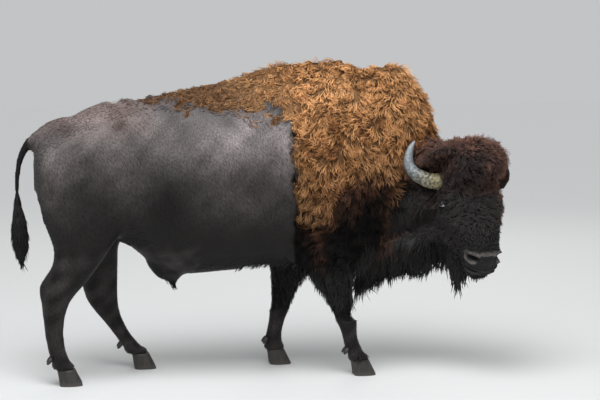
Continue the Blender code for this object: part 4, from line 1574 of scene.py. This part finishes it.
# ------------------------------------------------------------------ horns, eyes, hooves
@dataclass
class Horn:
    """One horn, ringed at its base and smooth at its tip."""

    head: HeadFrame
    side: int
    rings: int = 90
    sides: int = 36

    def build(self) -> bpy.types.Object:
        """Sweeps the horn.

        Returns:
            The horn.
        """
        rows = self._smooth()
        rows[:, 2] *= self.side if self.side > 0 else self.side * LEFT_HORN_TUCK
        line = self.head.world(rows[:, :3])
        tangent = unit(np.gradient(line, axis=0))
        side = unit(np.cross(self.head.axes[1], tangent))
        third = np.cross(tangent, side)
        turn = np.linspace(0, 2 * math.pi, self.sides, endpoint=False)
        t = np.linspace(0, 1, self.rings)
        rng = np.random.default_rng(41)
        ridge = np.sin(t * 2 * math.pi * 15 + np.sin(t * 30)) * 0.0016 * rise(0.45, 0.15, t)
        vertices = []
        for i in range(self.rings):
            wobble = 1 + 0.035 * np.sin(turn * 3 + t[i] * 9) * (1 - t[i]) + rng.normal(0, 0.004, self.sides)
            radius = (rows[i, 3] + ridge[i]) * wobble
            ring = np.cos(turn)[:, None] * side[i] + 0.94 * np.sin(turn)[:, None] * third[i]
            vertices.append(line[i] + radius[:, None] * ring)
        vertices = np.concatenate([*vertices, line[-1:] + tangent[-1:] * 0.003, line[:1]])
        faces = []
        m = self.sides
        for i in range(self.rings - 1):
            for j in range(m):
                a, b = i * m + j, i * m + (j + 1) % m
                faces += [(a, b, b + m), (a, b + m, a + m)]
        last = (self.rings - 1) * m
        faces += [(last + j, last + (j + 1) % m, len(vertices) - 2) for j in range(m)]
        faces += [((j + 1) % m, j, len(vertices) - 1) for j in range(m)]
        name = "horn_sheath_right" if self.side > 0 else "horn_sheath_left"
        horn = triangles_object(name, vertices, np.array(faces))
        along = np.concatenate([np.repeat(t, m), [1.0, 0.0]])
        paint(horn.data, "horn", np.stack([along] * 3, axis=1))
        face_outward(horn)
        horn.data.materials.append(self._finish())
        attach(horn, "root")
        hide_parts("horn_right" if self.side > 0 else "horn_left")
        return horn

    def _smooth(self) -> Array:
        """The path's rows, interpolated by a cubic."""
        table = np.array(HORN_PATH)
        padded = np.vstack([2 * table[0] - table[1], table, 2 * table[-1] - table[-2]])
        rows = []
        for t in np.linspace(0, len(table) - 1, self.rings):
            i = min(int(t), len(table) - 2)
            f = t - i
            p0, p1, p2, p3 = padded[i : i + 4]
            cubic = 2 * p0 - 5 * p1 + 4 * p2 - p3 + f * (3 * (p1 - p2) + p3 - p0)
            rows.append(p1 + 0.5 * f * (p2 - p0 + f * cubic))
        return np.array(rows)

    def _finish(self) -> bpy.types.Material:
        """Grey weathered horn with dark mottling, yellowish at the base."""
        existing = bpy.data.materials.get("horn_keratin")
        if existing:
            return existing
        material, g, shader = new_material("horn_keratin")
        along = g.attribute("horn")[0]
        blotch = g.stretched_noise(70.0, (1, 1, 1), 6.0)
        fine = g.stretched_noise(160.0, (1, 1, 1), 3.0)
        base = g.mix(g.ramp(along, 0.20, 0.50), (0.27, 0.23, 0.12), (0.19, 0.21, 0.225))
        base = g.mix(g.ramp(along, 0.72, 0.98), base, (0.23, 0.25, 0.275))
        dirt = g.math("MULTIPLY", g.ramp(blotch, 0.44, 0.60), g.ramp(along, 0.85, 0.45))
        colour = g.mix(g.math("MULTIPLY", dirt, 0.85), base, (0.030, 0.030, 0.026))
        colour = g.mix(g.ramp(fine, 0.55, 0.75, 0.0, 0.5), colour, (0.06, 0.055, 0.045))
        g.tree.links.new(colour, shader.inputs["Base Color"])
        g.tree.links.new(g.ramp(blotch, 0.3, 0.7, 0.35, 0.6), shader.inputs["Roughness"])
        height = g.math("ADD", blotch, g.math("MULTIPLY", fine, 0.5))
        bump = g.add("ShaderNodeBump", {"Strength": 0.5, "Distance": 0.003, "Height": height})
        g.tree.links.new(bump.outputs[0], shader.inputs["Normal"])
        return material


@dataclass
class Eye:
    """An eyeball with iris and cornea, and the lids round it."""

    head: HeadFrame
    side: int
    radius: float = 0.0212
    right: float = 0.174

    def build(self) -> list[bpy.types.Object]:
        """Builds ball and lids.

        Returns:
            Both pieces.
        """
        middle = self.head.world([self.head.eye_along, self.head.eye_out, self.side * self.right])
        gaze = unit(np.array([0.10, 0.30, 1.0 * self.side])) @ self.head.axes
        word = "right" if self.side > 0 else "left"
        bpy.ops.mesh.primitive_uv_sphere_add(segments=64, ring_count=40, radius=self.radius)
        ball = bpy.context.object
        ball.name = ball.data.name = "eyeball_" + word
        turn = Vector(gaze).to_track_quat("Z", "Y").to_matrix().to_4x4()
        places = vertex_array(ball.data, "co")
        z = places[:, 2] / self.radius
        places[:, 2] += 0.0022 * rise(0.80, 1.0, z)
        ball.data.vertices.foreach_set("co", places.astype(np.float32).ravel())
        values = np.stack([z, places[:, 0] / self.radius, places[:, 1] / self.radius], axis=1)
        paint(ball.data, "gaze", values)
        ball.data.transform(Matrix.Translation(middle) @ turn)
        bpy.ops.object.shade_smooth()
        ball.data.materials.append(self._finish())
        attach(ball, "root")
        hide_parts("eye_" + word)
        return [ball, self._lids(word, middle, gaze)]

    def _lids(self, word: str, middle: Array, gaze: Array) -> bpy.types.Object:
        """A soft rim round an almond opening, thicker above, with a tear corner.

        Args:
            word: "right" or "left".
            middle: the eyeball's middle.
            gaze: the way it looks.

        Returns:
            The lids.
        """
        along = unit(self.head.axes[0] * 0.80 + self.head.axes[1] * 0.60)
        along = unit(along - gaze * (along @ gaze))
        up = np.cross(gaze, along)
        if up @ np.array([0, 0, 1.0]) < 0:
            up = -up
        turn = np.linspace(0, 2 * math.pi, 72, endpoint=False)
        x = np.cos(turn) * 0.0184
        for corner, reach in ((0, 0.0050), (2 * math.pi, 0.0045)):
            x = x + reach * np.exp(-((turn - corner) ** 2) / 0.08)
        y = np.sin(turn) * 0.0112 * np.where(np.sin(turn) > 0, 1.0, 0.85)
        reach = np.sqrt(np.maximum((self.radius * 1.03) ** 2 - x**2 - y**2, 0.00002))
        rim = middle + x[:, None] * along + y[:, None] * up + reach[:, None] * gaze
        outward = unit(x[:, None] * along + 1.6 * y[:, None] * up)
        profile = (
            # away from the opening, out of the eye
            (0.0000, -0.0030),
            (0.0004, 0.0008),
            (0.0016, 0.0016),
            (0.0042, 0.0006),
            (0.0078, -0.0055),
            (0.0090, -0.0120),
        )
        rows = []
        for out, high in profile:
            fold = 1.0 + 0.35 * (np.sin(turn) > 0)[:, None]
            rows.append(rim + outward * out * fold + gaze * high)
        vertices = np.concatenate(rows)
        m = len(turn)
        faces = []
        for i in range(len(rows)):
            k = (i + 1) % len(rows)
            for j in range(m):
                a, b, c, d = i * m + j, i * m + (j + 1) % m, k * m + (j + 1) % m, k * m + j
                faces += [(a, b, c), (a, c, d)]
        lids = triangles_object("eyelids_" + word, vertices, np.array(faces))
        pale = np.tile(np.exp(-(((turn - math.pi * 1.75) / 0.9) ** 2)), len(rows))
        edge = np.repeat([1.0, 1.0, 0.5, 0.1, 0.0, 0.0], m)
        paint(lids.data, "lid", np.stack([pale, edge, edge], axis=1))
        face_outward(lids)
        lids.data.materials.append(self._lid_finish())
        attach(lids, "root")
        return lids

    def _lid_finish(self) -> bpy.types.Material:
        """Dark wrinkled lid skin, paler and wet at the lower rim."""
        existing = bpy.data.materials.get("eyelid_skin")
        if existing:
            return existing
        material, g, shader = new_material("eyelid_skin")
        pale_part, edge, _ = g.attribute("lid")
        fine = g.stretched_noise(420.0, (1, 1, 1), 2.0)
        colour = g.mix(g.ramp(fine, 0.4, 0.7), (0.004, 0.004, 0.004), (0.012, 0.011, 0.011))
        around = g.ramp(pale_part, 0.0, 1.0, 0.02, 1.0)
        pale = g.math("MULTIPLY", around, g.ramp(edge, 0.3, 0.9))
        colour = g.mix(pale, colour, (0.24, 0.21, 0.21))
        g.tree.links.new(colour, shader.inputs["Base Color"])
        shader.inputs["Roughness"].default_value = 0.55
        shader.inputs["Specular IOR Level"].default_value = 0.22
        bump = g.add("ShaderNodeBump", {"Strength": 0.4, "Distance": 0.001, "Height": fine})
        g.tree.links.new(bump.outputs[0], shader.inputs["Normal"])
        return material

    def _finish(self) -> bpy.types.Material:
        """Dark brown iris, black level pupil and a pale ring of white at the edge."""
        existing = bpy.data.materials.get("eye_surface")
        if existing:
            return existing
        material, g, shader = new_material("eye_surface")
        forward = g.attribute("gaze")[0]
        white = g.ramp(forward, 0.78, 0.68)
        pupil = g.ramp(forward, 0.93, 0.96)
        iris = g.mix(pupil, (0.010, 0.006, 0.004), (0.002, 0.002, 0.002))
        colour = g.mix(white, iris, (0.48, 0.46, 0.46))
        g.tree.links.new(colour, shader.inputs["Base Color"])
        shader.inputs["Roughness"].default_value = 0.05
        shader.inputs["Specular IOR Level"].default_value = 0.40
        return material


@dataclass
class Hooves:
    """Rounded claws and dewclaws over the CAD ones."""

    feet: tuple[str, ...] = ("fore_left", "fore_right", "hind_left", "hind_right")
    voxel: float = 0.0024

    def build(self) -> list[bpy.types.Object]:
        """Rounds a copy of each CAD claw.

        Returns:
            The claws.
        """
        finish = self._finish()
        pieces = []
        for foot in self.feet:
            for half in ("left", "right"):
                for kind in ("claw", "dewclaw"):
                    node = f"{foot}_{half}_{kind}"
                    obj = copy_of(node)
                    obj.name = obj.data.name = node + "_horn"
                    apply_modifier(obj, "REMESH", mode="VOXEL", voxel_size=self.voxel)
                    apply_modifier(obj, "SMOOTH", iterations=5 if kind == "claw" else 9)
                    bpy.ops.object.shade_smooth()
                    if kind == "claw":
                        self._taper(obj, foot)
                    obj.data.materials.append(finish)
                    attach(obj, "root")
                    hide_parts(node)
                    pieces.append(obj)
        return pieces

    def _taper(self, obj: bpy.types.Object, foot: str) -> None:
        """Swells the rim below the coronet and keeps the sole flat on the floor.

        Args:
            obj: the claw.
            foot: which foot it belongs to.
        """
        corners = [np.array(c) for half in ("left", "right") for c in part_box(f"{foot}_{half}_claw")]
        low, high = np.min(corners, axis=0), np.max(corners, axis=0)
        middle = (low + high) / 2
        places = vertex_array(obj.data, "co")
        t = np.clip((places[:, 2] - low[2]) / (high[2] - low[2]), 0, 1)
        rim = 0.02 * np.exp(-(((t - 0.86) / 0.08) ** 2)) - 0.03 * rise(0.93, 1.0, t)
        places[:, :2] = middle[:2] + (places[:, :2] - middle[:2]) * (1.0 + rim)[:, None]
        bottom = places[:, 2].min()
        places[:, 2] = np.maximum(places[:, 2] - bottom - 0.0006, 0.0)
        move_vertices(obj, places)

    def _finish(self) -> bpy.types.Material:
        """Black hoof horn with growth rings and dusty wear at the ground."""
        material, g, shader = new_material("hoof_horn")
        coords = g.add("ShaderNodeTexCoord").outputs["Object"]
        height = g.add("ShaderNodeSeparateXYZ", {0: coords}).outputs[2]
        rings = g.stretched_noise(60.0, (0.15, 0.15, 3.0), 3.0)
        fibres = g.stretched_noise(120.0, (1.0, 1.0, 0.1), 3.0)
        colour = g.mix(g.ramp(fibres, 0.35, 0.7), (0.012, 0.011, 0.010), (0.040, 0.035, 0.030))
        worn = g.ramp(height, 0.030, 0.0, 0.0, 0.6)
        colour = g.mix(worn, colour, (0.075, 0.062, 0.050))
        g.tree.links.new(colour, shader.inputs["Base Color"])
        g.tree.links.new(g.ramp(rings, 0.3, 0.7, 0.38, 0.6), shader.inputs["Roughness"])
        both = g.math("ADD", rings, g.math("MULTIPLY", fibres, 0.4))
        bump = g.add("ShaderNodeBump", {"Strength": 0.5, "Distance": 0.002, "Height": both})
        g.tree.links.new(bump.outputs[0], shader.inputs["Normal"])
        return material


# ------------------------------------------------------------------ studio
@dataclass
class Studio:
    """Pale floor, soft light and the camera."""

    shift: Array
    distance: float = 9.0
    azimuth: float = math.radians(-9.5)
    pitch: float = math.radians(6.4)
    lens: float = 94.5
    look_height: float = 0.99

    def build(self) -> None:
        """Makes the floor, lights and camera."""
        bpy.ops.mesh.primitive_plane_add(size=60.0)
        floor = bpy.context.object
        floor.name = "floor"
        material, _, shader = new_material("studio_floor")
        shader.inputs["Base Color"].default_value = (0.60, 0.60, 0.59, 1.0)
        shader.inputs["Roughness"].default_value = 0.8
        floor.data.materials.append(material)
        self._sun()
        self._light("key", (2.0, -6.0, 5.5), 4.0, 110.0, (1.0, 0.96, 0.90))
        self._light("top", (-0.8, -2.0, 4.8), 3.0, 170.0, (0.92, 0.96, 1.0))
        self._light("rim", (2.0, 6.0, 4.5), 3.0, 60.0, (1.0, 0.97, 0.92))
        world = bpy.data.worlds.new("studio")
        bpy.context.scene.world = world
        world.use_nodes = True
        backdrop = world.node_tree.nodes["Background"]
        backdrop.inputs["Color"].default_value = (0.90, 0.93, 0.97, 1.0)
        backdrop.inputs["Strength"].default_value = 0.55
        self._seamless(world.node_tree, backdrop)
        bpy.context.scene.view_settings.view_transform = "Standard"
        self._camera()

    def _seamless(self, tree: bpy.types.NodeTree, ambient: bpy.types.Node) -> None:
        """Shows the wall behind in the floor's own tone, while the ambient light stays as it is.

        Args:
            tree: the world's node tree.
            ambient: the node that gives the ambient light.
        """
        wall = tree.nodes.new("ShaderNodeBackground")
        wall.inputs["Color"].default_value = (0.540, 0.552, 0.558, 1.0)
        path = tree.nodes.new("ShaderNodeLightPath")
        mix = tree.nodes.new("ShaderNodeMixShader")
        tree.links.new(path.outputs["Is Camera Ray"], mix.inputs[0])
        tree.links.new(ambient.outputs[0], mix.inputs[1])
        tree.links.new(wall.outputs[0], mix.inputs[2])
        tree.links.new(mix.outputs[0], tree.nodes["World Output"].inputs["Surface"])

    def _sun(self) -> None:
        """A wide, soft sun that lights floor and animal evenly."""
        data = bpy.data.lights.new("sun", "SUN")
        data.energy, data.angle = 1.35, math.radians(40)
        light = bpy.data.objects.new("sun", data)
        bpy.context.scene.collection.objects.link(light)
        light.rotation_euler = Vector((0.22, 0.40, -1.0)).to_track_quat("-Z", "Y").to_euler()

    def _light(self, name: str, place: Colour, size: float, power: float, colour: Colour) -> None:
        """An area light aimed at the animal's middle.

        Args:
            name: the light's name.
            place: where it hangs.
            size: its width.
            power: its power in watts.
            colour: its colour.
        """
        data = bpy.data.lights.new(name, "AREA")
        data.energy, data.size, data.color = power, size, colour
        light = bpy.data.objects.new(name, data)
        bpy.context.scene.collection.objects.link(light)
        light.location = place
        light.rotation_euler = (Vector((0.2, 0, 0.9)) - Vector(place)).to_track_quat("-Z", "Y").to_euler()

    def _camera(self) -> None:
        """A long lens, a little above the back's level, slightly behind the animal's right side."""
        camera = bpy.data.objects.new("camera", bpy.data.cameras.new("camera"))
        bpy.context.scene.collection.objects.link(camera)
        target = Vector((self.shift[0], self.shift[1], self.look_height))
        back = Vector((math.sin(self.azimuth), -math.cos(self.azimuth), math.tan(self.pitch)))
        camera.location = target + back * self.distance
        camera.rotation_euler = (-back).to_track_quat("-Z", "Y").to_euler()
        camera.data.lens = self.lens
        camera.data.sensor_width = 36.0
        bpy.context.scene.camera = camera


# ------------------------------------------------------------------ the animal
def lock_styles(colours: CoatColours) -> list[LockStyle]:
    """Every kind of lock on the animal.

    Args:
        colours: the palette.

    Returns:
        The styles, in planting order.
    """
    long_hair = CoatFinish(
        "long_hair", colours, root_shade=0.5, tip_lift=1.7, roughness=0.45, sheen=0.05, gloss=0.25
    )
    wool = CoatFinish(
        "cape_wool", colours, root_shade=0.11, tip_lift=1.45, roughness=0.78, sheen=0.03, gloss=0.06
    )
    curls = replace(long_hair, name="head_curls", root_shade=0.20, tip_lift=5.5, roughness=0.50, sheen=0.10)
    bonnet = CoatFinish(
        "bonnet_curls", colours, root_shade=0.20, tip_lift=3.4, roughness=0.60, sheen=0.12, gloss=0.15,
        tint=(1.06, 1.08, 1.24),
    )
    short = CoatFinish(
        "short_hair", colours, root_shade=0.95, tip_lift=1.15, roughness=0.45, sheen=0.012, gloss=0.17,
        variation=0.5,
    )
    legs = replace(long_hair, name="leg_hair", root_shade=0.8, tip_lift=3.0)
    return [
        LockStyle(
            "cape_wool", (Region.CAPE,), count=27800, rings=4, length=0.068, width=0.0050, lift=0.50,
            curl=0.0100, turns=1.0, droop=0.25, spread=0.40, swirl=0.7, clump=16, gather=0.66,
            slot="cape_wool", finish=wool,
        ),
        LockStyle(
            "chest_mane_hair", (Region.MANE,), count=6800, rings=4, length=0.125, width=0.0068, lift=0.20,
            curl=0.006, turns=0.7, droop=0.8, spread=0.18, swirl=0.3, clump=8, gather=0.4,
            node="chest_mane", finish=long_hair,
        ),
        LockStyle(
            "crown_curls", (Region.CROWN,), count=11600, rings=4, length=0.044, width=0.0037, lift=0.75,
            curl=0.0068, turns=1.0, droop=0.2, spread=0.5, swirl=0.8, clump=8, gather=0.5,
            node="crown_hair", finish=bonnet,
        ),
        LockStyle(
            "face_curls", (Region.FACE,), count=8600, rings=4, length=0.036, width=0.0041, lift=0.45,
            curl=0.0060, turns=0.9, droop=0.15, spread=0.5, swirl=0.8, clump=5, gather=0.25,
            finish=curls,
        ),
        LockStyle(
            "beard_hair", (Region.BEARD,), count=1700, rings=4, length=0.100, width=0.0065, lift=0.15,
            curl=0.005, turns=0.6, droop=1.2, spread=0.15, swirl=0.2, clump=6, gather=0.3,
            node="beard", finish=long_hair,
        ),
        LockStyle(
            "body_tufts", (Region.BODY,), count=7500, rings=2, length=0.026, width=0.0042, lift=0.10,
            spread=0.14, swirl=0.15, ridge=0.35, hover=0.0004, slot="flank_coat_brown", finish=short,
        ),
        LockStyle(
            "leg_tufts", (Region.LEG, Region.TAIL), count=7000, rings=2, length=0.027, width=0.0036,
            lift=0.10, spread=0.18, swirl=0.15, ridge=0.5, hover=0.0010, slot="short_coat_black", finish=legs,
        ),
        LockStyle(
            "leg_feathering", (Region.CHAPS,), count=2200, rings=4, length=0.075, width=0.0065, lift=0.20,
            curl=0.005, turns=0.7, droop=0.9, spread=0.2, swirl=0.3, clump=6, gather=0.3,
            slot="short_coat_black", finish=long_hair,
        ),
        LockStyle(
            "tail_tuft_hair", (Region.TUFT,), count=1700, rings=5, length=0.180, width=0.0085, lift=0.30,
            curl=0.006, turns=0.6, droop=1.3, spread=0.12, swirl=0.1, node="tail_tuft", finish=long_hair,
        ),
        LockStyle(
            "ear_hair", (Region.EAR,), count=700, rings=4, length=0.026, width=0.0036, lift=0.25,
            curl=0.003, turns=0.6, droop=0.5, spread=0.3, swirl=0.3, finish=curls,
        ),
    ]


def main() -> None:
    """Builds the animal piece by piece."""
    logging.basicConfig(level=logging.INFO, format="%(message)s")
    head = HeadFrame()
    atlas = Atlas(head)
    colours = CoatColours()
    Studio(head.shift).build()
    skin = Skin(atlas, SkinFinish(colours)).build()
    LOG.info("skin: %d faces", len(skin.data.polygons))
    coat = Coat(atlas, Scalp(skin))
    total = 0
    for seed, style in enumerate(lock_styles(colours), start=100):
        for piece in coat.grow(style, seed):
            total += len(piece.data.polygons)
            LOG.info("%s: %d triangles", piece.name, len(piece.data.polygons))
    LOG.info("coat in all: %d triangles", total)
    for side in (1, -1):
        LOG.info("horn: %s", Horn(head, side).build().name)
        LOG.info("eye: %s", [piece.name for piece in Eye(head, side).build()])
    LOG.info("hooves: %d pieces", len(Hooves().build()))


if __name__ == "__main__":
    main()
